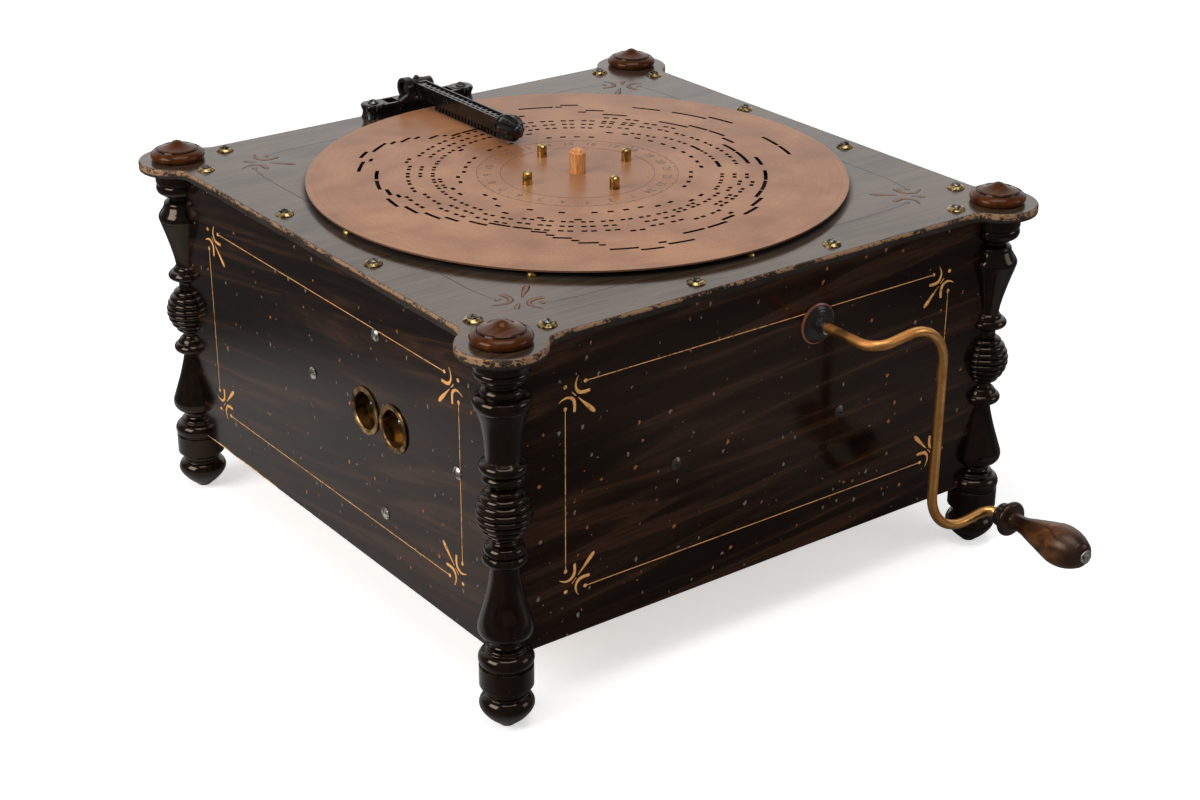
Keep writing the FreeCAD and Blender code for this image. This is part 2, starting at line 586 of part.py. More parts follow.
def make_top_screws():
    """Steel screws in brass cup washers round the top board."""
    w, h = CUP_WASHER_RADIUS, CUP_WASHER_HEIGHT
    seat = TOP_SCREW_SHANK + SEAT_GAP
    washer = turned([(w, 0), (w, 0.5), (w - 1.3, h - 0.2), (w - 2.2, h), (seat + 0.3, h - 1.0)],
                    (seat, 0))
    screws, washers = [], []
    for i, p in enumerate(top_screw_places()):
        screw = slotted_head(TOP_SCREW_HEAD, 1.5, TOP_SCREW_SHANK, TOP_SCREW_LENGTH + h, SCREW_SLOT)
        screw.rotate(V(0, 0, 0), Z, 35 + 50 * i)
        screw.translate(V(p.x, p.y, TOP + h + SEAT_GAP))
        screws.append(screw)
        placed = washer.copy()
        placed.translate(V(p.x, p.y, TOP))
        washers.append(placed)
    save("top_screws", screws)
    save("cup_washers", washers)


def make_side_cups():
    """Two brass cups let into the left panel, each held by two small screws in its floor."""
    outer, inner, deep = CUP_INNER_RADIUS + CUP_WALL, CUP_INNER_RADIUS, CUP_DEPTH
    rim, t, hole = CUP_RIM_RADIUS, CUP_RIM_THICKNESS, CUP_SCREW_RADIUS * 0.6
    path = [(rim - 0.5, 0), (rim, t * 0.6, rim - 0.6, t), (inner + 0.6, t), (inner, t - 0.6), (inner, -deep)]
    path += [(0, -deep), (0, -deep - CUP_WALL), (outer, -deep - CUP_WALL), (outer, 0)]
    cup = turned(path[:-1], path[-1])
    cups, screws = [], []
    for y in CUP_PLACES:
        body = cup.copy()
        laid = FreeCAD.Placement(V(-CASE_HALF, y, CUP_HEIGHT), FreeCAD.Rotation(Y, -90))
        for s in (-1, 1):
            floor = V(0, s * CUP_SCREW_OFFSET, -deep - CUP_WALL)
            body = body.cut(rod(hole + SEAT_GAP, CUP_WALL, floor))
            screw = slotted_head(CUP_SCREW_RADIUS, 0.9, hole, CUP_WALL + SEAT_GAP, SCREW_SLOT / 2)
            screw.translate(V(0, s * CUP_SCREW_OFFSET, -deep))
            screw.Placement = laid.multiply(screw.Placement)
            screws.append(screw)
        body.Placement = laid
        cups.append(body)
    save("side_cups", cups)
    save("side_cup_screws", screws)


def stud_places():
    """Centres of the studs under the disc's rim, with none where the key guide plate carries it."""
    turn = 2 * math.pi / STUD_COUNT
    return [V(STUD_CIRCLE * math.cos(i * turn), STUD_CIRCLE * math.sin(i * turn), 0)
            for i in range(STUD_COUNT) if i != STUD_COUNT // 4]


def make_studs():
    """Round-head brass studs that carry the disc's rim just under its path."""
    rise = DISC_RISE - SOFT_GAP
    neck = rise * 0.3
    stud = turned([(STUD_RADIUS, 0), (STUD_RADIUS, neck), crown(STUD_RADIUS, neck, rise)], (0, 0))
    stud = fused([stud, rod(STUD_SHANK, TOP_BOARD_THICKNESS, V(0, 0, -TOP_BOARD_THICKNESS))])
    studs = []
    for p in stud_places():
        placed = stud.copy()
        placed.translate(V(p.x, p.y, TOP))
        studs.append(placed)
    save("disc_rest_studs", studs)


# ---------------------------------------------------------------- disc and turntable
def slot_sector(radius, start, sweep):
    """A slot in the disc as a wire: a strip of a ring, from an angle on, both in degrees."""
    inner, outer = radius - SLOT_WIDTH / 2, radius + SLOT_WIDTH / 2
    a, b, m = (math.radians(v) for v in (start, start + sweep, start + sweep / 2))

    def at(r, angle):
        return V(r * math.cos(angle), r * math.sin(angle), DISC_UNDER)

    long_slot = sweep * math.pi / 180 * radius > 8
    if long_slot:
        far = Part.Arc(at(outer, a), at(outer, m), at(outer, b)).toShape()
        near = Part.Arc(at(inner, b), at(inner, m), at(inner, a)).toShape()
    else:
        far = Part.LineSegment(at(outer, a), at(outer, b)).toShape()
        near = Part.LineSegment(at(inner, b), at(inner, a)).toShape()
    ends = [Part.LineSegment(at(outer, b), at(inner, b)).toShape(),
            Part.LineSegment(at(inner, a), at(outer, a)).toShape()]
    return Part.Wire([far, ends[0], near, ends[1]])


def tune_slots():
    """The tune as (track, start, sweep): in each bar a bass note and two chords, and the melody."""
    bar = 360.0 / len(BASS)
    slots = list(MELODY)
    for i, (bass, chord) in enumerate(zip(BASS, CHORDS)):
        slots.append((int(bass), i * bar, 3.0))
        for track in CHORD_TRACKS[chord]:
            slots += [(track, i * bar + 2.5, 1.9), (track, i * bar + 5.5, 1.9)]
    return slots


def make_disc():
    """The card disc: a thin sheet with the tune's slots, a centre hole and four drive pin holes."""
    holes = [Part.Wire(Part.makeCircle(PEG_RADIUS + SEAT_GAP, V(0, 0, DISC_UNDER)))]
    holes += [Part.Wire(Part.makeCircle(DRIVE_PIN_RADIUS + SEAT_GAP, p + V(0, 0, DISC_UNDER)))
              for p in drive_pin_places()]
    holes += [slot_sector(TRACK_RADII[track], start, sweep) for track, start, sweep in tune_slots()]
    sheet = Part.Face(Part.Wire(Part.makeCircle(DISC_RADIUS, V(0, 0, DISC_UNDER))))
    cutters = [Part.Face(w).extrude(Z * DISC_THICKNESS) for w in holes]
    save("music_disc", cut_all(sheet.extrude(Z * DISC_THICKNESS), cutters))


def drive_pin_places():
    """Centres of the drive pins, evenly round the turntable."""
    places = []
    for i in range(DRIVE_PIN_COUNT):
        angle = math.radians(DRIVE_PIN_TURN) + 2 * math.pi * i / DRIVE_PIN_COUNT
        places.append(V(DRIVE_PIN_CIRCLE * math.cos(angle), DRIVE_PIN_CIRCLE * math.sin(angle), 0))
    return places


def make_turntable():
    """The flat iron turntable, its brass drive pins, the wooden centre peg and the steel spindle."""
    low = DISC_UNDER - TURNTABLE_THICKNESS
    plate = rod(TURNTABLE_RADIUS, TURNTABLE_THICKNESS, V(0, 0, low))
    holes = [rod(PEG_RADIUS + SEAT_GAP, TURNTABLE_THICKNESS, V(0, 0, low))]
    holes += [rod(DRIVE_PIN_RADIUS * 0.6 + SEAT_GAP, TURNTABLE_THICKNESS, p + V(0, 0, low))
              for p in drive_pin_places()]
    windows = []
    for i in range(DRIVE_PIN_COUNT):
        angle = math.radians(DRIVE_PIN_TURN + 45) + 2 * math.pi * i / DRIVE_PIN_COUNT
        place = V(DRIVE_PIN_CIRCLE * 0.72 * math.cos(angle), DRIVE_PIN_CIRCLE * 0.72 * math.sin(angle), low)
        windows.append(rod(TURNTABLE_RADIUS * 0.19, TURNTABLE_THICKNESS, place))
    save("turntable_plate", cut_all(plate, holes + windows))

    r, rise = DRIVE_PIN_RADIUS, DISC_THICKNESS + DRIVE_PIN_RISE
    pin = turned([(r - PEG_NECK, 0), (r - PEG_NECK, DISC_THICKNESS), (r, DISC_THICKNESS), (r, rise - 0.6),
                  (r - 0.6, rise), (0, rise)], (0, 0))
    pin = fused([pin, rod(r * 0.6, TURNTABLE_THICKNESS, V(0, 0, -TURNTABLE_THICKNESS))])
    pin = pin.cut(box(-r - 1, r + 1, -SCREW_SLOT / 2, SCREW_SLOT / 2, rise - 1.6, rise + 1))
    pins = []
    for i, p in enumerate(drive_pin_places()):
        placed = pin.copy()
        placed.rotate(V(0, 0, 0), Z, 20 + 65 * i)
        placed.translate(V(p.x, p.y, DISC_UNDER))
        pins.append(placed)
    save("drive_pins", pins)

    top = DISC_TOP + PEG_RISE
    neck = SPINDLE_RADIUS * 0.5
    peg = turned([(PEG_RADIUS - PEG_NECK, low), (PEG_RADIUS - PEG_NECK, DISC_TOP), (PEG_RADIUS, DISC_TOP),
                  (PEG_RADIUS, top - 3.0), crown(PEG_RADIUS, top - 3.0, top)], (0, low))
    save("centre_peg", peg.cut(rod(neck + SEAT_GAP, 12.0, V(0, 0, low))))

    collar = rod(SPINDLE_COLLAR_RADIUS, SPINDLE_COLLAR_HEIGHT,
                 V(0, 0, SPINDLE_FOOT + FRAME_PLATE - 1.0 + SOFT_GAP))
    spindle = [rod(SPINDLE_RADIUS, low - SPINDLE_FOOT, V(0, 0, SPINDLE_FOOT)), collar]
    spindle.append(rod(neck, 11.0, V(0, 0, low)))
    save("turntable_spindle", fused(spindle))


def make_worm_wheel():
    """Brass worm wheel: straight-sided teeth, slanted by the worm's lead angle."""
    tip, root = WHEEL_PITCH_RADIUS + ADDENDUM, WHEEL_PITCH_RADIUS - DEDENDUM
    low, half = SHAFT_Z - WHEEL_WIDTH / 2, WHEEL_WIDTH / 2 + 2.0
    slope = math.tan(math.radians(PRESSURE_ANGLE))
    at_pitch = (AXIAL_PITCH + TOOTH_BACKLASH) / 4
    wide, narrow = at_pitch + (ADDENDUM + 1.0) * slope, at_pitch - DEDENDUM * slope
    lean = half * math.tan(LEAD_ANGLE)
    gap = prism([(root, -narrow - lean, SHAFT_Z - half), (root, narrow - lean, SHAFT_Z - half),
                 (tip + 1, wide - lean, SHAFT_Z - half), (tip + 1, -wide - lean, SHAFT_Z - half)],
                1.0, V(0, 2 * lean, 2 * half))
    gaps = []
    for i in range(WHEEL_TEETH):
        tool = gap.copy()
        tool.rotate(V(0, 0, 0), Z, 360.0 * i / WHEEL_TEETH)
        gaps.append(tool)
    blank = rod(tip, WHEEL_WIDTH, V(0, 0, low))
    boss = rod(WHEEL_BOSS_RADIUS, WHEEL_BOSS_HEIGHT, V(0, 0, SHAFT_Z - WHEEL_BOSS_HEIGHT / 2))
    bore = rod(SPINDLE_RADIUS + SEAT_GAP, WHEEL_BOSS_HEIGHT, V(0, 0, SHAFT_Z - WHEEL_BOSS_HEIGHT / 2))
    lightening = [rod(3.6, WHEEL_WIDTH, V(17.5 * math.cos(a), 17.5 * math.sin(a), low))
                  for a in (math.radians(30 + 60 * i) for i in range(6))]
    save("worm_wheel", fused([cut_all(blank, gaps), boss]).cut(Part.makeCompound([bore] + lightening)))


# ---------------------------------------------------------------- crank
def make_worm():
    """Brass worm with one right-hand thread, its middle turn in mesh with the wheel at rest."""
    root, tip = WORM_PITCH_RADIUS - DEDENDUM + 0.05, WORM_PITCH_RADIUS + ADDENDUM
    slope = math.tan(math.radians(PRESSURE_ANGLE))
    at_pitch = (AXIAL_PITCH - TOOTH_BACKLASH) / 4
    sunk = 0.4
    wide = at_pitch + (WORM_PITCH_RADIUS - root + sunk) * slope
    narrow = at_pitch - ADDENDUM * slope
    helix = Part.makeHelix(AXIAL_PITCH, WORM_TURNS * AXIAL_PITCH, WORM_PITCH_RADIUS)
    corners = [V(root - sunk, 0, -wide), V(tip, 0, -narrow), V(tip, 0, narrow), V(root - sunk, 0, wide)]
    profile = Part.makePolygon(corners + corners[:1])
    thread = Part.Wire(helix.Edges).makePipeShell([profile], True, True)
    thread.translate(V(0, 0, -WORM_TURNS * AXIAL_PITCH / 2))
    core = rod(root, WORM_LENGTH, V(0, 0, -WORM_LENGTH / 2))
    worm = core.fuse(thread).cut(rod(SHAFT_RADIUS + SEAT_GAP, WORM_LENGTH, V(0, 0, -WORM_LENGTH / 2)))
    worm.rotate(V(0, 0, 0), X, -90)
    worm.translate(V(SHAFT_X, 0, SHAFT_Z))
    save("worm", worm)


def throw_parts(y, side):
    """One crank throw: two rounded cheeks and the pin between them. side says which way it points."""
    pin_x = SHAFT_X + side * THROW
    parts = [rod(THROW_PIN_RADIUS, 2 * THROW_HALF_GAP, V(pin_x, y - THROW_HALF_GAP, SHAFT_Z), Y)]
    for at in (y - THROW_HALF_GAP - THROW_CHEEK, y + THROW_HALF_GAP):
        parts.append(rod(SHAFT_RADIUS + 2, THROW_CHEEK, V(SHAFT_X, at, SHAFT_Z), Y))
        parts.append(rod(THROW_PIN_RADIUS + 2, THROW_CHEEK, V(pin_x, at, SHAFT_Z), Y))
        xs = sorted([SHAFT_X, pin_x])
        parts.append(box(xs[0], xs[1], at, at + THROW_CHEEK, SHAFT_Z - 5, SHAFT_Z + 5))
    return parts


def make_crankshaft():
    """Steel crankshaft with two opposite throws, bored at its front end for the crank rod."""
    reach = THROW_HALF_GAP
    stops = [SHAFT_FRONT_END, -ROD_PLACE - reach, -ROD_PLACE + reach, ROD_PLACE - reach, ROD_PLACE + reach,
             SHAFT_REAR_END]
    parts = [rod(SHAFT_RADIUS, b - a, V(SHAFT_X, a, SHAFT_Z), Y) for a, b in zip(stops[0::2], stops[1::2])]
    parts += throw_parts(-ROD_PLACE, -1) + throw_parts(ROD_PLACE, 1)
    bore = rod(CRANK_SPIGOT_RADIUS + SEAT_GAP, CRANK_SPIGOT_LENGTH + SEAT_GAP,
               V(SHAFT_X, SHAFT_FRONT_END, SHAFT_Z), Y)
    save("crankshaft", fused(parts).cut(bore))


def make_crank_rod():
    """The S-bent brass-washed crank rod, with a spigot in the shaft and a straight end for the grip."""
    end = GRIP_START - GRIP_LENGTH - SOFT_GAP
    corners = [V(SHAFT_X, SHAFT_FRONT_END, SHAFT_Z), V(SHAFT_X, CRANK_PLANE, SHAFT_Z),
               V(CRANK_DROP_X, CRANK_PLANE, CRANK_TOP_Z), V(CRANK_DROP_X, CRANK_PLANE, CRANK_LOW_Z),
               V(GRIP_X, CRANK_PLANE, GRIP_Z), V(GRIP_X, end, GRIP_Z)]
    path = bent_wire(corners, CRANK_BENDS)
    section = Part.Wire(Part.makeCircle(CRANK_ROD_RADIUS, corners[0], Y))
    bent = path.makePipeShell([section], True, False)
    spigot = rod(CRANK_SPIGOT_RADIUS, CRANK_SPIGOT_LENGTH, V(SHAFT_X, SHAFT_FRONT_END, SHAFT_Z), Y)
    save("crank_rod", bent.fuse(spigot))


def make_grip():
    """Turned wooden grip that spins on the rod, its black ferrule, and the riveted end washer."""
    bore = CRANK_ROD_RADIUS + RUNNING_GAP
    f, length = GRIP_FERRULE_LENGTH, GRIP_LENGTH
    path = [(9.2, f), (10.9, f + 2.0, 9.2, f + 4.4), (5.6, f + 5.2), (5.1, f + 9.0, 6.3, f + 17.0)]
    path += [(9.6, f + 28.5, 12.4, f + 39.0), (12.5, f + 46.0, 8.6, f + 57.0)]
    path.append((6.6, length - 1.0, 4.6, length))
    path += [(bore, length)]
    save("crank_grip", along_minus_y(turned(path, (bore, f)), GRIP_X, GRIP_START, GRIP_Z))
    r = GRIP_FERRULE_RADIUS
    path = [(r - 1.0, 0), (r, 0.6, r, 1.6), (r - 0.5, f - 1.6), (r, f - 0.8, r, f), (bore, f)]
    ferrule = turned(path, (bore, 0))
    save("grip_ferrule", along_minus_y(ferrule, GRIP_X, GRIP_START, GRIP_Z))
    w, t = GRIP_WASHER_RADIUS, GRIP_WASHER_THICKNESS
    washer = turned([(w, 0), (w - 0.2, t * 0.7, w - 0.8, t), (2.7, t), crown(2.7, t, t + 1.4)], (0, 0))
    save("grip_washer", along_minus_y(washer, GRIP_X, GRIP_START - length - SOFT_GAP, GRIP_Z))


def make_crank_bearings():
    """The domed escutcheon, the bushes of shaft and spindle, and the hanger at the shaft's far end."""
    bore = SHAFT_RADIUS + RUNNING_GAP
    e, rise = ESCUTCHEON_RADIUS, ESCUTCHEON_RISE
    dome = turned([(e, 0), (e, 0.8), (e * 0.72, rise * 0.82, bore + 0.8, rise), (bore, rise)], (bore, 0))
    save("crank_escutcheon", along_minus_y(dome, SHAFT_X, -CASE_HALF, SHAFT_Z))
    bush = tube(FRONT_BUSH_RADIUS, bore, PANEL_THICKNESS, V(SHAFT_X, -CASE_HALF, SHAFT_Z), Y)
    collar_radius = FRONT_BUSH_RADIUS + BUSH_FLANGE
    collar = tube(collar_radius, bore, BUSH_FLANGE_THICKNESS, V(SHAFT_X, -INSIDE, SHAFT_Z), Y)
    upright = SPINDLE_RADIUS + RUNNING_GAP
    sleeve = tube(SPINDLE_BUSH_RADIUS, upright, TOP_BOARD_THICKNESS, V(0, 0, TOP_BOARD_UNDER))
    flange = tube(SPINDLE_BUSH_RADIUS + BUSH_FLANGE, upright, BUSH_FLANGE_THICKNESS,
                  V(0, 0, TOP_BOARD_UNDER - BUSH_FLANGE_THICKNESS))
    save("bearing_bushes", [fused([bush, collar]), fused([sleeve, flange])])

    half, y0, t = REAR_BEARING_HALF, REAR_BEARING_Y - REAR_BEARING_THICKNESS / 2, REAR_BEARING_THICKNESS
    hanger = [box(SHAFT_X - half, SHAFT_X + half, y0, y0 + t, SHAFT_Z, TOP_BOARD_UNDER)]
    hanger.append(rod(half, t, V(SHAFT_X, y0, SHAFT_Z), Y))
    foot = half + FRAME_FLANGE
    hanger.append(box(SHAFT_X - foot, SHAFT_X + foot, y0, y0 + t, TOP_BOARD_UNDER - 4, TOP_BOARD_UNDER))
    holes = [rod(bore, t, V(SHAFT_X, y0, SHAFT_Z), Y)] + frame_screw_shanks(SEAT_GAP)
    save("rear_bearing", cut_all(fused(hanger), holes))


def frame_screw_places():
    """Screws that hang the gear frame and the rear bearing under the top board."""
    flange = FRAME_LEG + FRAME_PLATE / 2 + FRAME_FLANGE / 2
    places = [V(x, s * flange, 0) for x in (FRAME_LOW_X + 8, FRAME_HIGH_X - 8) for s in (-1, 1)]
    foot = REAR_BEARING_HALF + FRAME_FLANGE / 2
    places += [V(SHAFT_X + s * foot, REAR_BEARING_Y, 0) for s in (-1, 1)]
    return places


def frame_screw_shanks(room):
    """The frame screws' shanks, through the 4 mm flanges and up into the top board."""
    return [rod(FRAME_SCREW_SHANK + room, 4 + FRAME_SCREW_ENTRY + room, V(p.x, p.y, TOP_BOARD_UNDER - 4))
            for p in frame_screw_places()]


def make_gear_frame():
    """Cast iron frame: two legs with the worm's bearings and a bar with the spindle's foot bearing."""
    x0, x1, out, t = FRAME_LOW_X, FRAME_HIGH_X, FRAME_LEG + FRAME_PLATE / 2, FRAME_PLATE
    low = SPINDLE_FOOT - 1.0
    parts = [box(x0, x1, -out, out, low, low + t)]
    for s in (-1, 1):
        ys = sorted([s * out, s * (out - t)])
        parts.append(box(x0, x1, ys[0], ys[1], low, TOP_BOARD_UNDER))
        ys = sorted([s * (out - t), s * (out + FRAME_FLANGE)])
        parts.append(box(x0, x1, ys[0], ys[1], TOP_BOARD_UNDER - 4, TOP_BOARD_UNDER))
    frame = fused(parts)
    tools = [rod(SHAFT_RADIUS + RUNNING_GAP, 2 * out, V(SHAFT_X, -out, SHAFT_Z), Y)]
    tools += [rod(SPINDLE_RADIUS + RUNNING_GAP, t + 2, V(0, 0, low - 1))]
    tools += [rod(11, 2 * out, V(8, -out, SHAFT_Z + 8), Y)]
    tools += frame_screw_shanks(SEAT_GAP)
    save("gear_frame", cut_all(frame, tools))


def make_frame_screws():
    """Slotted screws from below through the frame's flanges, and the cheese heads on them."""
    screws = []
    for p in frame_screw_places():
        screw = slotted_head(FRAME_SCREW_HEAD, 2.0, FRAME_SCREW_SHANK, 4 + FRAME_SCREW_ENTRY, SCREW_SLOT)
        screw.rotate(V(0, 0, 0), X, 180)
        screw.translate(V(p.x, p.y, TOP_BOARD_UNDER - 4))
        screws.append(screw)
    save("frame_screws", screws)


# ---------------------------------------------------------------- pressure arm
def bracket_lug(side):
    """One fluted lug of the bracket, in its place."""
    r, h = LUG_RADIUS, LUG_HEIGHT
    path = [(r, 0), (r - 0.9, h * 0.3), (r - 0.9, h * 0.5), (r, h * 0.75)]
    path += [(r - 0.4, h - 0.4, r - 1.5, h), (0, h)]
    out = r + LUG_FLUTE_RADIUS - LUG_FLUTE_DEPTH
    turns = [2 * math.pi * (i + 0.5) / LUG_FLUTES for i in range(LUG_FLUTES)]
    lug = cut_all(turned(path, (0, 0)), [rod(LUG_FLUTE_RADIUS, h, V(out * math.cos(a), out * math.sin(a), 0))
                                         for a in turns])
    lug.translate(V(side * LUG_X, LUG_Y, TOP))
    return lug


def channel_leaf(middle_x, floor_z):
    """A raised leaf on the floor of the bracket's channel, pointed at both ends."""
    off = LEAF_BOW - LEAF_HALF_WIDTH
    sides = [rod(LEAF_BOW, LEAF_RISE, V(middle_x, LUG_Y + s * off, floor_z)) for s in (-1, 1)]
    return sides[0].common(sides[1])


def make_arm_bracket():
    """Cast iron bracket at the back edge: two screw lugs, a channelled bar and two hinge cheeks."""
    z0, ty = TOP, LUG_Y
    bar_half, bar_top = BRACKET_BAR_HALF, TOP + BRACKET_BAR_HEIGHT
    cheek_out = BRACKET_CHEEK_INNER + BRACKET_CHEEK
    lug_top = TOP + LUG_HEIGHT
    parts = [box(-LUG_X, LUG_X, ty - bar_half, ty + bar_half, z0, bar_top), bracket_lug(-1), bracket_lug(1)]
    hinge = []
    for s, cheek_r in ((-1, LEFT_CHEEK_RADIUS), (1, RIGHT_CHEEK_RADIUS)):
        x0 = min(s * BRACKET_CHEEK_INNER, s * cheek_out)
        hinge.append(rod(cheek_r, BRACKET_CHEEK, V(x0, ARM_HINGE_Y, ARM_HINGE_Z), X))
        parts.append(box(x0, x0 + BRACKET_CHEEK, ARM_HINGE_Y - cheek_r, ARM_HINGE_Y + cheek_r * 0.55,
                         z0, ARM_HINGE_Z))
        inside, face, outside = (s * (cheek_out + step) for step in (-1, 0, GUSSET))
        shoulder = ARM_HINGE_Z - 2
        flare = [(inside, z0), (outside, z0), (outside, bar_top), (face, shoulder), (inside, shoulder)]
        parts.append(prism([(x, ty - bar_half, z) for x, z in flare], BRACKET_BAR_WALL + 1.0, Y))
    edge = TOP_BOARD_HALF
    behind = box(-2 * LUG_X, 2 * LUG_X, edge, edge + LUG_RADIUS, z0, ARM_HINGE_Z)
    tools = []
    swing = ARM_BARREL_RADIUS + CREST_RADIUS + 0.8
    tools.append(rod(swing, 2 * BRACKET_CHEEK_INNER, V(-BRACKET_CHEEK_INNER, ARM_HINGE_Y, ARM_HINGE_Z), X))
    tools.append(rod(HINGE_PIN_RADIUS + SEAT_GAP, 60, V(-30, ARM_HINGE_Y, ARM_HINGE_Z), X))
    tools.append(rod(CHEEK_DISH_RADIUS, CHEEK_DISH_DEPTH, V(-cheek_out, ARM_HINGE_Y, ARM_HINGE_Z), X))
    inner, floor_z = bar_half - BRACKET_BAR_WALL, bar_top - BRACKET_CHANNEL
    leaves = []
    for s in (-1, 1):
        tools.append(rod(FRAME_SCREW_SHANK + SEAT_GAP, LUG_HEIGHT, V(s * LUG_X, ty, z0)))
        near, far = sorted([s * (cheek_out + GUSSET), s * (LUG_X - LUG_RADIUS - 0.5)])
        back = min(ty + inner, edge - BRACKET_BAR_WALL)
        tools.append(box(near, far, ty - inner, back, floor_z, bar_top))
        leaves.append(channel_leaf((near + far) / 2, floor_z))
    bracket = fused([fused(parts).cut(behind)] + hinge)
    save("arm_bracket", fused([cut_all(bracket, tools)] + leaves))

    screws = []
    for s, turn in ((-1, 40), (1, -25)):
        length = LUG_HEIGHT + TOP_BOARD_THICKNESS
        screw = slotted_head(FRAME_SCREW_HEAD, 2.2, FRAME_SCREW_SHANK, length, SCREW_SLOT)
        screw.rotate(V(0, 0, 0), Z, turn)
        screw.translate(V(s * LUG_X, ty, lug_top))
        screws.append(screw)
    save("arm_bracket_screws", screws)

    left_end = CHEEK_DISH_DEPTH - 1.0 - cheek_out
    pin = rod(HINGE_PIN_RADIUS, cheek_out - left_end, V(left_end, ARM_HINGE_Y, ARM_HINGE_Z), X)
    save("arm_hinge_pin", pin)


def make_pressure_arm():
    """The cast pressure arm: hinge barrel, beam with two rows of windows, comb below, fluted knob."""
    w, low, high = ARM_HALF_WIDTH, ARM_UNDER, ARM_TOP
    root = ARM_HINGE_Y - ARM_BARREL_RADIUS * 0.6
    barrel = rod(ARM_BARREL_RADIUS, 2 * w, V(-w, ARM_HINGE_Y, ARM_HINGE_Z), X)
    beam = box(-w, w, ARM_BAR_END, root, low, high)
    comb_low = DISC_TOP + ARM_COMB_GAP
    comb = box(-ARM_COMB_HALF, ARM_COMB_HALF, ARM_BAR_END, TRACK_LAST + 3, comb_low, low)
    r = KNOB_RADIUS
    knob = turned([(r * 0.8, 0), (r * 0.8, 1.2), (r * 0.66, 1.8), (r * 0.7, 2.6), (r, 6.5, r * 0.97, 10.5),
                   (r * 0.8, 15.0, r * 0.4, 17.5), crown(r * 0.4, 17.5, 19.5)], (0, 0))
    knob = along_minus_y(knob, 0, ARM_BAR_END + 0.5, DISC_TOP + ARM_COMB_GAP + r)
    crest = Part.makeSphere(CREST_RADIUS, V(0, ARM_HINGE_Y, ARM_HINGE_Z + ARM_BARREL_RADIUS))
    arm = fused([barrel, beam, comb, knob, crest])

    tools = [rod(HINGE_PIN_RADIUS + RUNNING_GAP, 2 * w, V(-w, ARM_HINGE_Y, ARM_HINGE_Z), X)]
    start, stop = ARM_BAR_END + 3.0, root - 8.0
    pitch = (stop - start) / ARM_WINDOWS
    far, near, floor = w - ARM_RAIL, ARM_MIDDLE_RIB / 2, high - ARM_WINDOW_DEPTH
    for i in range(ARM_WINDOWS):
        y = start + i * pitch
        tools.append(box(-far, -near, y, y + pitch - ARM_WINDOW_BAR, floor, high))
        y += pitch / 2
        tools.append(box(near, far, y, y + pitch - ARM_WINDOW_BAR, floor, high))
    tools.append(box(-w + ARM_RAIL, w - ARM_RAIL, start - 1, stop + pitch, high - 0.8, high))
    for radius in TRACK_RADII:
        if radius > ARM_BAR_END + 2:
            y0, y1 = radius - ARM_COMB_SLOT / 2, radius + ARM_COMB_SLOT / 2
            tools.append(box(-ARM_COMB_HALF, ARM_COMB_HALF, y0, y1, comb_low, low - 1.0))
    axis_z = DISC_TOP + ARM_COMB_GAP + r
    for i in range(KNOB_FLUTES):
        angle = 2 * math.pi * (i + 0.5) / KNOB_FLUTES
        ends = [V(out * math.cos(angle), y, axis_z + out * math.sin(angle))
                for out, y in ((r + 2.0, ARM_BAR_END), (r * 0.72, ARM_BAR_END - 20))]
        run = ends[1] - ends[0]
        tools.append(rod(FLUTE_RADIUS, run.Length, ends[0], run))
    save("pressure_arm", cut_all(arm, tools))


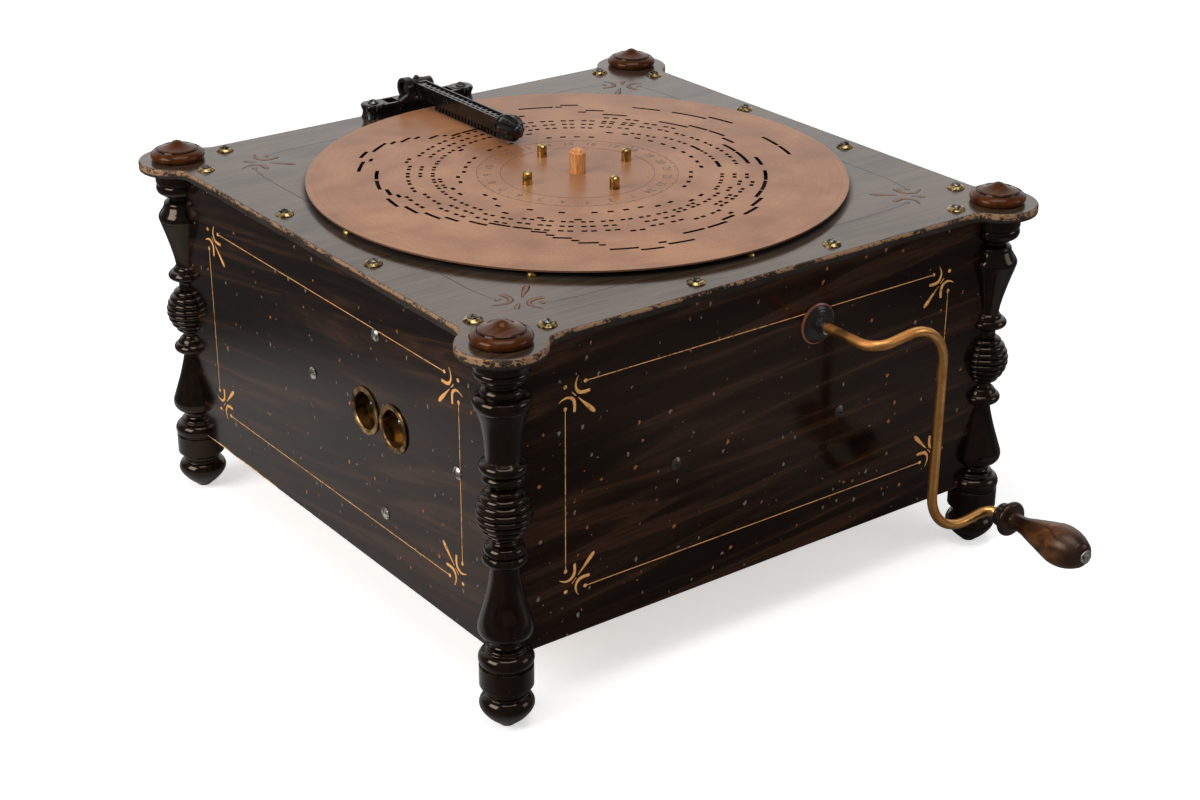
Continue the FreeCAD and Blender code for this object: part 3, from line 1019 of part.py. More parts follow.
# ---------------------------------------------------------------- keys, reeds and wind chest
def make_keys():
    """The slotted guide plate, the levers with their tips, pivot wire and rail, pallets, springs."""
    half = GUIDE_HALF
    plate = box(-half, half, TRACK_FIRST - 5, TRACK_LAST + 5, TOP, TOP + GUIDE_THICKNESS)
    slot_half = KEY_THICKNESS / 2 + 0.25
    save("key_guide_plate", cut_all(plate, [
        box(-BOARD_SLOT_HALF, BOARD_SLOT_HALF, y - slot_half, y + slot_half, TOP, TOP + GUIDE_THICKNESS)
        for y in TRACK_RADII]))

    low, high, tip = KEY_LEVER_LOW, KEY_LEVER_LOW + KEY_LEVER_HEIGHT, KEY_TIP_LENGTH / 2
    levers, pallets, springs, cells = [], [], [], []
    for y in TRACK_RADII:
        y0, y1 = y - KEY_THICKNESS / 2, y + KEY_THICKNESS / 2
        lever = fused([box(KEY_PIVOT_X, tip, y0, y1, low, high), box(-tip, tip, y0, y1, high, KEY_TIP_TOP),
                       rod(KEY_LEVER_HEIGHT / 2, KEY_THICKNESS, V(KEY_PIVOT_X, y0, KEY_PIVOT_Z), Y)])
        eye = rod(KEY_PIVOT_RADIUS + RUNNING_GAP, KEY_THICKNESS, V(KEY_PIVOT_X, y0, KEY_PIVOT_Z), Y)
        levers.append(lever.cut(eye))
        pallets.append(box(PALLET_X - PALLET_HALF, PALLET_X + PALLET_HALF, y - TRACK_PITCH * 0.42,
                           y + TRACK_PITCH * 0.42, low - PALLET_THICKNESS, low))
        cells.append(box(PALLET_X - REED_HOLE_HALF, PALLET_X + REED_HOLE_HALF, y - TRACK_PITCH * 0.3,
                         y + TRACK_PITCH * 0.3, REED_BLOCK_LOW, REED_BLOCK_TOP))
        foot, head = PALLET_X - REED_BLOCK_HALF + 1.5, PALLET_X - REED_BLOCK_HALF - 12.0
        edge, head_z = y - SPRING_STRIP / 2, low - SOFT_GAP
        strip = [(foot, edge, REED_BLOCK_TOP), (foot, edge, REED_BLOCK_TOP + SPRING_GAUGE),
                 (head, edge, head_z), (head, edge, head_z - SPRING_GAUGE)]
        springs.append(prism(strip, SPRING_STRIP, Y))
    save("key_levers", levers)
    save("key_pallets", pallets)
    save("key_springs", springs)

    front, back = CHEST_FRONT, CHEST_BACK
    rail_low = TOP_BOARD_UNDER - KEY_RAIL_HEIGHT
    x0, x1 = KEY_PIVOT_X - KEY_RAIL_HALF, KEY_PIVOT_X + KEY_RAIL_HALF
    rail = [box(x0, x1, front, back, rail_low, TOP_BOARD_UNDER)]
    for y in (front, back - KEY_RAIL_EAR):
        rail.append(box(x0, x1, y, y + KEY_RAIL_EAR, KEY_PIVOT_Z - 5, rail_low))
    wire_hole = rod(KEY_PIVOT_RADIUS + SEAT_GAP, back - front, V(KEY_PIVOT_X, front, KEY_PIVOT_Z), Y)
    save("key_rail", fused(rail).cut(wire_hole))
    save("key_pivot_wire", rod(KEY_PIVOT_RADIUS, back - front, V(KEY_PIVOT_X, front, KEY_PIVOT_Z), Y))

    x0, x1 = PALLET_X - REED_BLOCK_HALF, PALLET_X + REED_BLOCK_HALF
    block = box(x0, x1, front, back, REED_BLOCK_LOW, REED_BLOCK_TOP)
    save("reed_block", cut_all(block, cells))
    plates = []
    wide, tongue, long = TRACK_PITCH * 0.44, REED_TONGUE_HALF, REED_PLATE_HALF
    z1 = REED_BLOCK_LOW
    z0 = z1 - REED_PLATE_THICKNESS
    for y in TRACK_RADII:
        plate = box(PALLET_X - long, PALLET_X + long, y - wide, y + wide, z0, z1)
        gate, blade = wide * 0.5, wide * 0.4
        plate = plate.cut(box(PALLET_X - tongue, PALLET_X + tongue, y - gate, y + gate, z0, z1))
        reed = box(PALLET_X - tongue - 1.2, PALLET_X + tongue - 0.3, y - blade, y + blade, z0 - 0.3, z0)
        plates.append(plate.fuse(reed))
    save("reed_plates", plates)

    wall = CHEST_WALL
    walls = box(x0, x1, front, back, WIND_TOP, REED_BLOCK_LOW)
    room = box(x0 + wall, x1 - wall, front + wall, back - wall, WIND_TOP, REED_BLOCK_LOW)
    save("wind_chest", walls.cut(room))


# ---------------------------------------------------------------- bellows
def feeder_span(side):
    """The two Y edges of a feeder; side is -1 for the front one and 1 for the rear one."""
    return sorted([side * FEEDER_INNER_Y, side * (FEEDER_INNER_Y + FEEDER_WIDTH)])


def opened(shape):
    """A feeder piece turned from shut to its opening angle at rest, about the feeder's hinge."""
    shape.rotate(V(FEEDER_HINGE_X, 0, FEEDER_HINGE_Z), Y, FEEDER_OPEN)
    return shape


def shut_pivot():
    """The fork pivot's place with the feeder shut, which opening carries under the crankshaft."""
    dx, dz = SHAFT_X - FEEDER_HINGE_X, FORK_PIVOT_Z - FEEDER_HINGE_Z
    c, s = math.cos(math.radians(FEEDER_OPEN)), math.sin(math.radians(FEEDER_OPEN))
    return FEEDER_HINGE_X + dx * c - dz * s, FEEDER_HINGE_Z + dx * s + dz * c


def leather_ring(side, share, inset, z_lift):
    """A rectangular outline of the feeder's leather at a share of the opening angle."""
    y0, y1 = feeder_span(side)
    a = math.radians(FEEDER_OPEN * share)
    base = WIND_TOP + SOFT_GAP if share == 0 else FEEDER_HINGE_Z - z_lift
    points = []
    for far, y in ((0, y0), (0, y1), (1, y1), (1, y0)):
        reach = (FEEDER_HINGE_X - FEEDER_FREE_X - inset) if far else inset
        yy = y + inset if y == y0 else y - inset
        points.append(V(FEEDER_HINGE_X - reach * math.cos(a), yy, base + reach * math.sin(a)))
    return Part.makePolygon(points + points[:1])


def feeder_leather(side):
    """Folded leather between the wind board and the feeder board, pinched in at its middle."""
    middle = (FEEDER_LIFT + SOFT_GAP) / 2

    def loft(extra):
        rings = [leather_ring(side, 0, LEATHER_INSET + extra, 0),
                 leather_ring(side, 0.5, LEATHER_INSET + LEATHER_FOLD + extra, middle),
                 leather_ring(side, 1.0, LEATHER_INSET + extra, SOFT_GAP)]
        return Part.makeLoft(rings, True, True)

    return loft(0).cut(loft(LEATHER))


def connecting_rod(side):
    """A flat rod from its crank throw down to the fork's pivot, with a cross pin in its lower eye."""
    x, y, t = SHAFT_X + side * THROW, side * ROD_PLACE, ROD_HALF_THICKNESS
    drop = SHAFT_Z - FORK_PIVOT_Z
    low = SHAFT_Z - math.hypot(THROW, drop)
    link = [rod(ROD_BIG_EYE, 2 * t, V(x, y - t, SHAFT_Z), Y), rod(ROD_SMALL_EYE, 2 * t, V(x, y - t, low), Y),
            box(x - ROD_HALF_WIDTH, x + ROD_HALF_WIDTH, y - t, y + t, low, SHAFT_Z),
            rod(ROD_PIN_RADIUS, 2 * ROD_PIN_HALF, V(x, y - ROD_PIN_HALF, low), Y)]
    shape = fused(link).cut(rod(THROW_PIN_RADIUS + RUNNING_GAP, 2 * t, V(x, y - t, SHAFT_Z), Y))
    shape.rotate(V(x, y, SHAFT_Z), Y, math.degrees(math.atan2(side * THROW, drop)))
    return shape


def make_feeders():
    """Two feeders: hinged boards with leather, forks for the connecting rods, and the rods."""
    pivot_x, pivot_z = shut_pivot()
    board_top = FEEDER_HINGE_Z + FEEDER_THICKNESS
    for name, side in (("front", -1), ("rear", 1)):
        y0, y1 = feeder_span(side)
        y = side * ROD_PLACE
        board = box(FEEDER_FREE_X, FEEDER_HINGE_X, y0, y1, FEEDER_HINGE_Z, board_top)
        hole_x = FEEDER_HINGE_X - FEEDER_HOLE_IN
        holes = [rod(AIR_HOLE, FEEDER_THICKNESS, V(hole_x, y + AIR_HOLE_PITCH * k, FEEDER_HINGE_Z))
                 for k in (-1, 0, 1)]
        save("feeder_board_%s" % name, opened(cut_all(board, holes)))

        half, cheek = FORK_HALF_WIDTH, FORK_CHEEK
        outer = FORK_HALF_GAP + cheek
        fork = [box(pivot_x - half, pivot_x + half, y - outer, y + outer, board_top, board_top + 2.5)]
        for s in (-1, 1):
            ys = sorted([y + s * FORK_HALF_GAP, y + s * outer])
            fork.append(box(pivot_x - half, pivot_x + half, ys[0], ys[1], board_top, pivot_z))
            fork.append(rod(half, cheek, V(pivot_x, ys[0], pivot_z), Y))
        hole = rod(ROD_PIN_RADIUS + RUNNING_GAP, 2 * outer, V(pivot_x, y - outer, pivot_z), Y)
        save("feeder_fork_%s" % name, opened(fused(fork).cut(hole)))

        save("connecting_rod_%s" % name, connecting_rod(side))
        save("feeder_leather_%s" % name, feeder_leather(side))


def make_wind_board():
    """The fixed board between feeders and reservoir, with the holes that the air passes through."""
    i = INSIDE
    board = box(-i, i, -i, i, WIND_BOARD_LOW, WIND_TOP)
    holes = panel_screw_holes()
    rows = [(PALLET_X, (CHEST_FRONT + CHEST_BACK) / 2)]
    for side in (-1, 1):
        rows.append((FEEDER_FREE_X + WIND_HOLE_IN, side * ROD_PLACE))
    for x, y in rows:
        holes += [rod(AIR_HOLE, WIND_BOARD_THICKNESS, V(x, y + AIR_HOLE_PITCH * k, WIND_BOARD_LOW))
                  for k in (-1, 0, 1)]
    save("wind_board", cut_all(board, holes))


def bowed_spring(y, crown_z):
    """A bowed flat steel spring: its two feet stand on the bottom board, its crown under crown_z."""
    half, gauge, low = BOW_SPAN / 2, BOW_THICKNESS, BOTTOM_TOP
    start, foot = half + BOW_FOOT, low + gauge

    def at(x, z):
        return V(BOW_PLACE_X + x, y - BOW_WIDTH / 2, z)

    corners = [at(-start, low), at(-start, foot), at(-half, foot)]
    edges = [Part.LineSegment(a, b).toShape() for a, b in zip(corners, corners[1:])]
    edges.append(Part.Arc(at(-half, foot), at(0, crown_z), at(half, foot)).toShape())
    corners = [at(half, foot), at(start, foot), at(start, low), at(half, low)]
    edges += [Part.LineSegment(a, b).toShape() for a, b in zip(corners, corners[1:])]
    edges.append(Part.Arc(at(half, low), at(0, crown_z - gauge), at(-half, low)).toShape())
    edges.append(Part.LineSegment(at(-half, low), at(-start, low)).toShape())
    return Part.Face(Part.Wire(edges)).extrude(Y * BOW_WIDTH)


def make_reservoir():
    """The reservoir under the wind board: hinged board, flat-folded leather and two bowed springs."""
    h, top = RESERVOIR_HALF, WIND_BOARD_LOW - RESERVOIR_GAP
    low = top - RESERVOIR_THICKNESS
    save("reservoir_board", box(-h, h, -h, h, low, top))
    outer = h - LEATHER
    ring = box(-outer, outer, -outer, outer, top + SOFT_GAP, WIND_BOARD_LOW - SOFT_GAP)
    inner = outer - LEATHER_FOLD * 2
    save("reservoir_leather", ring.cut(box(-inner, inner, -inner, inner, top, WIND_BOARD_LOW)))
    save("reservoir_springs", [bowed_spring(s * BOW_PLACE_Y, low - SOFT_GAP) for s in (-1, 1)])


def main():
    os.makedirs("parts", exist_ok=True)
    make_posts()
    make_caps()
    make_panels()
    make_battens()
    make_panel_screws()
    make_top_board()
    make_top_screws()
    make_side_cups()
    make_studs()
    make_disc()
    make_turntable()
    make_worm_wheel()
    make_worm()
    make_crankshaft()
    make_crank_rod()
    make_grip()
    make_crank_bearings()
    make_gear_frame()
    make_frame_screws()
    make_arm_bracket()
    make_pressure_arm()
    make_keys()
    make_feeders()
    make_wind_board()
    make_reservoir()


main()
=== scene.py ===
import logging
import math
from dataclasses import dataclass
from enum import Enum
from typing import Iterable, Sequence

import bmesh
import bpy
from mathutils import Matrix, Vector

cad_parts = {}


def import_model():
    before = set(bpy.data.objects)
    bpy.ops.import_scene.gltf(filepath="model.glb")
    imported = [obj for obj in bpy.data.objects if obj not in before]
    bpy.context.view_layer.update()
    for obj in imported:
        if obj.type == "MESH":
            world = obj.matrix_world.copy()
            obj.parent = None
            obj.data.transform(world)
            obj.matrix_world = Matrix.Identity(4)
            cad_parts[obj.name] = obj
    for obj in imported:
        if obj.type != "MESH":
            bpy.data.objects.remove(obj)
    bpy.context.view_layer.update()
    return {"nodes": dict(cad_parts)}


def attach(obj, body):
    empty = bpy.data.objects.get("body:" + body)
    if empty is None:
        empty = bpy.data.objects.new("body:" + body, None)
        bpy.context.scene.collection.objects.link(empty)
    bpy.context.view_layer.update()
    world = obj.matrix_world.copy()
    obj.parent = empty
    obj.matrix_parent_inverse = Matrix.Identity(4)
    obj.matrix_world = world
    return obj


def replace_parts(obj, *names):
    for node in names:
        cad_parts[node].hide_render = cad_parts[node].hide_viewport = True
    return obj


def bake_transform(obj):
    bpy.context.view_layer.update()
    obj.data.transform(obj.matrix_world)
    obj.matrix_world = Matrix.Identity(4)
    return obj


# A hand-cranked table organ: an ebonised case with gilt lining on turned posts, a slotted card disc, a cast
# pressure arm and a bent crank. Places are in metres in the frame's own axes: +Z up, the crank face looks
# along -Y and the face with the two brass cups along -X. Names ending in _mm hold millimetres, and names
# ending in _m metres.

LOG = logging.getLogger("table_organ")
MM = 0.001
# Nearly all of a noise pattern lies between these heights.
LOW, HIGH = 0.35, 0.65
Point = tuple[float, float]
Triple = tuple[float, float, float]
Stops = Sequence[tuple[float, str]]
Socket = bpy.types.NodeSocket
Shader = bpy.types.ShaderNode
Tree = bpy.types.ShaderNodeTree


# ---------------------------------------------------------------- small helpers
class Body(Enum):
    """The bodies that new pieces ride on, and the boards that the stretched pieces name."""

    CASE = "case"
    TURNTABLE = "turntable"
    FEEDER_FRONT = "feeder_front"
    FEEDER_REAR = "feeder_rear"
    RESERVOIR = "reservoir"


def linear(colour: str) -> tuple[float, float, float, float]:
    """Turns an sRGB hex colour into linear light.

    Args:
        colour: A colour such as "#8a5a2b".

    Returns:
        Red, green, blue and an alpha of 1.
    """
    parts = [int(colour[i:i + 2], 16) / 255 for i in (1, 3, 5)]
    return (*(c / 12.92 if c <= 0.04045 else ((c + 0.055) / 1.055) ** 2.4 for c in parts), 1.0)


def join(tree: Tree, node: Shader, links: dict) -> None:
    """Fills a node's inputs.

    Args:
        tree: The node tree.
        node: The node.
        links: Input name or index to a socket, a number, a vector or a hex colour.
    """
    for name, value in links.items():
        if isinstance(value, Socket):
            tree.links.new(value, node.inputs[name])
        else:
            node.inputs[name].default_value = linear(value) if isinstance(value, str) else value


def add(tree: Tree, kind: str, links: dict | None = None, stops: Stops = (), **settings: object) -> Shader:
    """Adds a shader node with its settings and links.

    Args:
        tree: The node tree.
        kind: The node's type without its "ShaderNode" prefix.
        links: What fills its inputs, as for join.
        stops: A colour ramp's places and hex colours.
        **settings: Attributes of the node.

    Returns:
        The node.
    """
    node = tree.nodes.new("ShaderNode" + kind)
    for name, value in settings.items():
        setattr(node, name, value)
    join(tree, node, links or {})
    for i, (place, colour) in enumerate(stops):
        ramp = node.color_ramp.elements
        stop = ramp[i] if i < 2 else ramp.new(place)
        stop.position, stop.color = place, linear(colour)
    return node


def away(tree: Tree, value: Socket, mark: float) -> Socket:
    """Measures how far a value lies from a mark, on either side.

    Args:
        tree: The node tree.
        value: The value.
        mark: The mark.

    Returns:
        The distance, never below 0.
    """
    off = add(tree, "Math", {0: value, 1: mark}, operation="SUBTRACT").outputs[0]
    return add(tree, "Math", {0: off}, operation="ABSOLUTE").outputs[0]


def off_axis(tree: Tree, coords: Socket, across: Triple = (1.0, 1.0, 0.0)) -> Socket:
    """Measures how far a place lies from an axis through the origin.

    Args:
        tree: The node tree.
        coords: The place.
        across: 0 along the axis and 1 across it.

    Returns:
        The distance.
    """
    flat = add(tree, "VectorMath", {0: coords, 1: across}, operation="MULTIPLY").outputs[0]
    return add(tree, "VectorMath", {0: flat}, operation="LENGTH").outputs["Value"]


def blank_tree(owner: bpy.types.Material | bpy.types.World) -> Tree:
    """Empties the node tree of a material or a world.

    Args:
        owner: The material or the world.

    Returns:
        Its node tree.
    """
    owner.use_nodes = True
    tree = owner.node_tree
    tree.nodes.clear()
    return tree


def linked(name: str, data: bpy.types.ID) -> bpy.types.Object:
    """Makes an object and links it to the scene.

    Args:
        name: Its name.
        data: Its mesh, lamp or camera.

    Returns:
        The object, at the origin.
    """
    made = bpy.data.objects.new(name, data)
    bpy.context.scene.collection.objects.link(made)
    return made


def settle(name: str, mesh: bpy.types.Mesh, body: Body | None, finish: "Finish") -> bpy.types.Object:
    """Makes a mesh a finished piece of the object.

    Args:
        name: The piece's name.
        mesh: Its mesh, already in place.
        body: The body that it rides on, or None for a piece that rides on none.
        finish: Its finish.

    Returns:
        The piece, with its object at the origin.
    """
    piece = linked(name, mesh)
    mesh.shade_smooth()
    mesh.materials.clear()
    mesh.materials.append(finish.material())
    if body:
        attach(piece, body.value)
    LOG.info("%s: %d faces on %s", name, len(mesh.polygons), body.value if body else "two bodies")
    return piece


def mesh_of(name: str, bm: bmesh.types.BMesh, place: Matrix = Matrix.Identity(4)) -> bpy.types.Mesh:
    """Turns a bmesh into a mesh at its place and frees it.

    Args:
        name: The mesh's name.
        bm: The shape.
        place: Where it goes.

    Returns:
        The mesh.
    """
    bmesh.ops.transform(bm, matrix=place, verts=bm.verts)
    bmesh.ops.recalc_face_normals(bm, faces=bm.faces)
    mesh = bpy.data.meshes.new(name)
    bm.to_mesh(mesh)
    bm.free()
    return mesh


def mesh_from(curve: bpy.types.Curve) -> bpy.types.Mesh:
    """Turns a curve or a text into a mesh and frees it.

    Args:
        curve: The curve or text.

    Returns:
        The mesh.
    """
    holder = bpy.data.objects.new(curve.name, curve)
    mesh = bpy.data.meshes.new_from_object(holder)
    bpy.data.objects.remove(holder)
    bpy.data.curves.remove(curve)
    return mesh


# ---------------------------------------------------------------- patterns
@dataclass(frozen=True)
class Figure:
    """A figure drawn out along the grain: noise whose features have these lengths along X, Y and Z."""

    lengths_mm: Triple
    detail: float = 4.0
    wander: float = 0.4
    shift: float = 0.0

    def value(self, tree: Tree, coords: Socket) -> Socket:
        """Adds the pattern.

        Args:
            tree: The node tree.
            coords: Where the pattern is read.

        Returns:
            Its height from 0 to 1.
        """
        cycles = tuple(1 / (length * MM) for length in self.lengths_mm)
        place = (self.shift,) * 3
        drawn = add(tree, "Mapping", {"Vector": coords, "Location": place, "Scale": cycles})
        links = {"Vector": drawn.outputs[0], "Scale": 1.0, "Detail": self.detail, "Distortion": self.wander}
        return add(tree, "TexNoise", links).outputs[0]


@dataclass(frozen=True)
class Flecks:
    """Chips and rubs that gather in clusters.

    size_mm is a fleck's size along X, Y and Z, cluster_mm how far apart the clusters are, gather how much
    they weigh, and share runs from 0 for none to 1 for a surface that is all flecks. A fleck shows where the
    summed noise is over a height that falls from highest by drop as the share grows.
    """

    size_mm: Triple
    cluster_mm: float
    share: float
    shift: float = 0.0
    edge: float = 0.015
    gather: float = 0.7
    highest: float = 1.25
    drop: float = 0.8

    def mask(self, tree: Tree, coords: Socket) -> Socket:
        """Adds the pattern.

        Args:
            tree: The node tree.
            coords: Where the pattern is read.

        Returns:
            1 inside a fleck and 0 outside.
        """
        fine = Figure(self.size_mm, 2.5, 0.9, self.shift).value(tree, coords)
        coarse = Figure((self.cluster_mm,) * 3, 1.0, 0.0, self.shift + 3.7).value(tree, coords)
        total = add(tree, "Math", {0: coarse, 1: self.gather, 2: fine}, operation="MULTIPLY_ADD").outputs[0]
        start = self.highest - self.drop * self.share
        links = {"Value": total, "From Min": start, "From Max": start + self.edge}
        return add(tree, "MapRange", links).outputs[0]


@dataclass(frozen=True)
class Chips:
    """Separate knocks: at most one in a cell, each of its own size, ragged and drawn out along one axis.

    spacing_mm is the cell's size along X, Y and Z, largest the largest chip as a share of its cell, rarity
    how much rarer a large chip is than a small one, and growth how much they grow where wear is given.
    """

    spacing_mm: Triple
    largest: float
    lean: float = 0.0
    ragged_mm: float = 1.1
    shake: float = 2.4
    rarity: float = 4.0
    growth: float = 0.6
    edge: float = 0.012

    def shaken(self, tree: Tree, coords: Socket) -> Socket:
        """Shakes the places that the pattern is read at, which makes its outlines ragged.

        Args:
            tree: The node tree.
            coords: The even places.

        Returns:
            The shaken places.
        """
        links = {"Vector": coords, "Scale": 1 / (self.ragged_mm * MM), "Detail": 2.0}
        rough = add(tree, "TexNoise", links).outputs["Color"]
        rough = add(tree, "VectorMath", {0: rough, 1: (0.5, 0.5, 0.5)}, operation="SUBTRACT").outputs[0]
        links = {0: rough, 1: (self.shake * self.ragged_mm * MM,) * 3, 2: coords}
        return add(tree, "VectorMath", links, operation="MULTIPLY_ADD").outputs[0]

    def mask(self, tree: Tree, coords: Socket, more: Socket | None = None) -> Socket:
        """Adds the pattern.

        Args:
            tree: The node tree.
            coords: Where the pattern is read.
            more: How much the chips grow from place to place.

        Returns:
            1 inside a chip and 0 outside.
        """
        size = tuple(length * MM for length in self.spacing_mm)
        links = {"Vector": self.shaken(tree, coords), "Rotation": (self.lean, self.lean, 0.0), "Scale": size}
        cells = add(tree, "Mapping", links, vector_type="TEXTURE").outputs[0]
        spots = add(tree, "TexVoronoi", {"Vector": cells, "Scale": 1.0})
        chance = add(tree, "SeparateXYZ", {0: spots.outputs["Color"]}).outputs[0]
        chance = add(tree, "Math", {0: chance, 1: self.rarity}, operation="POWER").outputs[0]
        reach = add(tree, "Math", {0: chance, 1: self.largest}, operation="MULTIPLY").outputs[0]
        if more:
            links = {0: more, 1: self.growth, 2: reach}
            reach = add(tree, "Math", links, operation="MULTIPLY_ADD").outputs[0]
        inside = add(tree, "Math", {0: reach, 1: spots.outputs["Distance"]}, operation="SUBTRACT").outputs[0]
        return add(tree, "MapRange", {"Value": inside, "From Min": 0.0, "From Max": self.edge}).outputs[0]


# ---------------------------------------------------------------- finishes
@dataclass(frozen=True)
class Finish:
    """What all finishes share. A subclass dresses the surface shader."""

    name: str

    def material(self) -> bpy.types.Material:
        """Makes the finish's material the first time it is asked for.

        Returns:
            The material.
        """
        known = bpy.data.materials.get(self.name)
        if known:
            return known
        material = bpy.data.materials.new(self.name)
        tree = blank_tree(material)
        coords = add(tree, "TexCoord").outputs["Object"]
        surface = add(tree, "BsdfPrincipled")
        add(tree, "OutputMaterial", {"Surface": surface.outputs[0]})
        self.dress(tree, surface, coords)
        return material

    def dress(self, tree: Tree, surface: Shader, coords: Socket) -> None:
        """Sets the surface's colour, gloss and relief.

        Args:
            tree: The node tree.
            surface: Its Principled shader.
            coords: Object coordinates in metres.
        """
        raise NotImplementedError


@dataclass(frozen=True)
class EbonisedPanel(Finish):
    """Case panels: pine painted black-brown, combed in imitation of rosewood and shellacked.

    The eye sees a deep, softly glossy black with long reddish streaks, knocked through to grey ground and
    orange wood in small flecks that gather along the lower lining, under the top and round the shaft.
    """

    streak: Figure = Figure((260.0, 260.0, 15.0), 6.0, 1.6)
    tones: Stops = ((0.34, "#0b0605"), (0.72, "#1a100a"), (0.47, "#130b08"), (0.55, "#20130c"),
                    (0.62, "#332014"))
    # Real pores are a tenth of this across. They are drawn coarser so that they show.
    pores: Figure = Figure((28.0, 28.0, 0.45), 3.0, 0.2)
    bloom: Figure = Figure((160.0, 160.0, 60.0), 2.0, 0.5, 5.0)
    combed_lean: Triple = (0.15, 0.085, 0.0)
    ground: str = "#6f665b"
    wood: str = "#94592f"
    scratched: str = "#6b5546"
    bare_pine: str = "#d2a36a"
    ground_chips: Chips = Chips((5.0, 5.0, 8.0), 0.2, 0.2)
    wood_chips: Chips = Chips((7.0, 7.0, 9.0), 0.16, 0.35)
    scratches: Chips = Chips((5.0, 5.0, 30.0), 0.12, 0.5, 0.4)
    lower_line_mm: float = 69.5
    line_reach_mm: float = 14.0
    line_wear: float = 0.05
    top_edge_mm: float = 222.0
    top_reach_mm: float = 16.0
    top_wear: float = 0.07
    shaft_m: Triple = (0.0358, -0.181, 0.185)
    shaft_reach_mm: tuple[float, float] = (12.0, 30.0)
    shaft_wear: float = 0.09
    foot_mm: float = 42.3
    foot_wander: Figure = Figure((30.0, 30.0, 30.0), 4.0, 0.0, 2.2)
    foot_wander_mm: tuple[float, float] = (-0.9, 1.4)
    front_foot_mm: float = -4.0
    rear_from_mm: float = 60.0
    pore_shade: tuple[float, float] = (0.75, 1.15)
    pore_depth_mm: float = 0.02
    chip_depth_mm: float = 0.12
    gloss: tuple[float, float] = (0.10, 0.19)
    chip_gloss: float = 0.8
    level: float = 0.27
    tint: str = "#ffcfab"

    def wear(self, tree: Tree, coords: Socket, height: Socket) -> Socket:
        """Says where chips gather: along the lower lining, under the top board and round the shaft.

        Args:
            tree: The node tree.
            coords: Object coordinates.
            height: Their Z.

        Returns:
            How much more of the surface is chipped there.
        """
        off_line = away(tree, height, self.lower_line_mm * MM)
        links = {"Value": off_line, "From Min": 0.0, "From Max": self.line_reach_mm * MM,
                 "To Min": self.line_wear, "To Max": 0.0}
        by_line = add(tree, "MapRange", links).outputs[0]
        links = {"Value": height, "From Min": (self.top_edge_mm - self.top_reach_mm) * MM,
                 "From Max": self.top_edge_mm * MM, "To Min": 0.0, "To Max": self.top_wear}
        by_top = add(tree, "MapRange", links).outputs[0]
        reach = add(tree, "VectorMath", {0: coords, 1: self.shaft_m}, operation="DISTANCE").outputs["Value"]
        near, far = self.shaft_reach_mm
        links = {"Value": reach, "From Min": near * MM, "From Max": far * MM,
                 "To Min": self.shaft_wear, "To Max": 0.0}
        by_shaft = add(tree, "MapRange", links).outputs[0]
        total = add(tree, "Math", {0: by_line, 1: by_top}, operation="ADD").outputs[0]
        return add(tree, "Math", {0: total, 1: by_shaft}, operation="ADD").outputs[0]

    def combed(self, tree: Tree, coords: Socket, pores: Socket) -> Socket:
        """Combs the paint in long leaning streaks.

        Args:
            tree: The node tree.
            coords: Object coordinates.
            pores: The pores' height.

        Returns:
            The paint's colour.
        """
        links = {"Vector": coords, "Rotation": self.combed_lean}
        leaning = add(tree, "VectorRotate", links, rotation_type="EULER_XYZ").outputs[0]
        paint = add(tree, "ValToRGB", {0: self.streak.value(tree, leaning)}, stops=self.tones).outputs[0]
        links = {"Value": pores, "From Min": LOW, "From Max": 0.7,
                 "To Min": self.pore_shade[0], "To Max": self.pore_shade[1]}
        shade = add(tree, "MapRange", links).outputs[0]
        return add(tree, "VectorMath", {0: paint, "Scale": shade}, operation="SCALE").outputs[0]

    def foot_edge(self, tree: Tree, coords: Socket) -> Socket:
        """Says how high the panel's foot is rubbed bare: a ragged hem on the rear half, none in front.

        Args:
            tree: The node tree.
            coords: Object coordinates.

        Returns:
            The height.
        """
        low, high = self.foot_wander_mm
        links = {"Value": self.foot_wander.value(tree, coords), "From Min": LOW, "From Max": HIGH,
                 "To Min": low * MM, "To Max": high * MM}
        edge = add(tree, "MapRange", links).outputs[0]
        edge = add(tree, "Math", {0: edge, 1: self.foot_mm * MM}, operation="ADD").outputs[0]
        depth = add(tree, "SeparateXYZ", {0: coords}).outputs[1]
        links = {"Value": depth, "From Min": 0.0, "From Max": self.rear_from_mm * MM,
                 "To Min": self.front_foot_mm * MM, "To Max": 0.0}
        behind = add(tree, "MapRange", links).outputs[0]
        return add(tree, "Math", {0: edge, 1: behind}, operation="ADD").outputs[0]

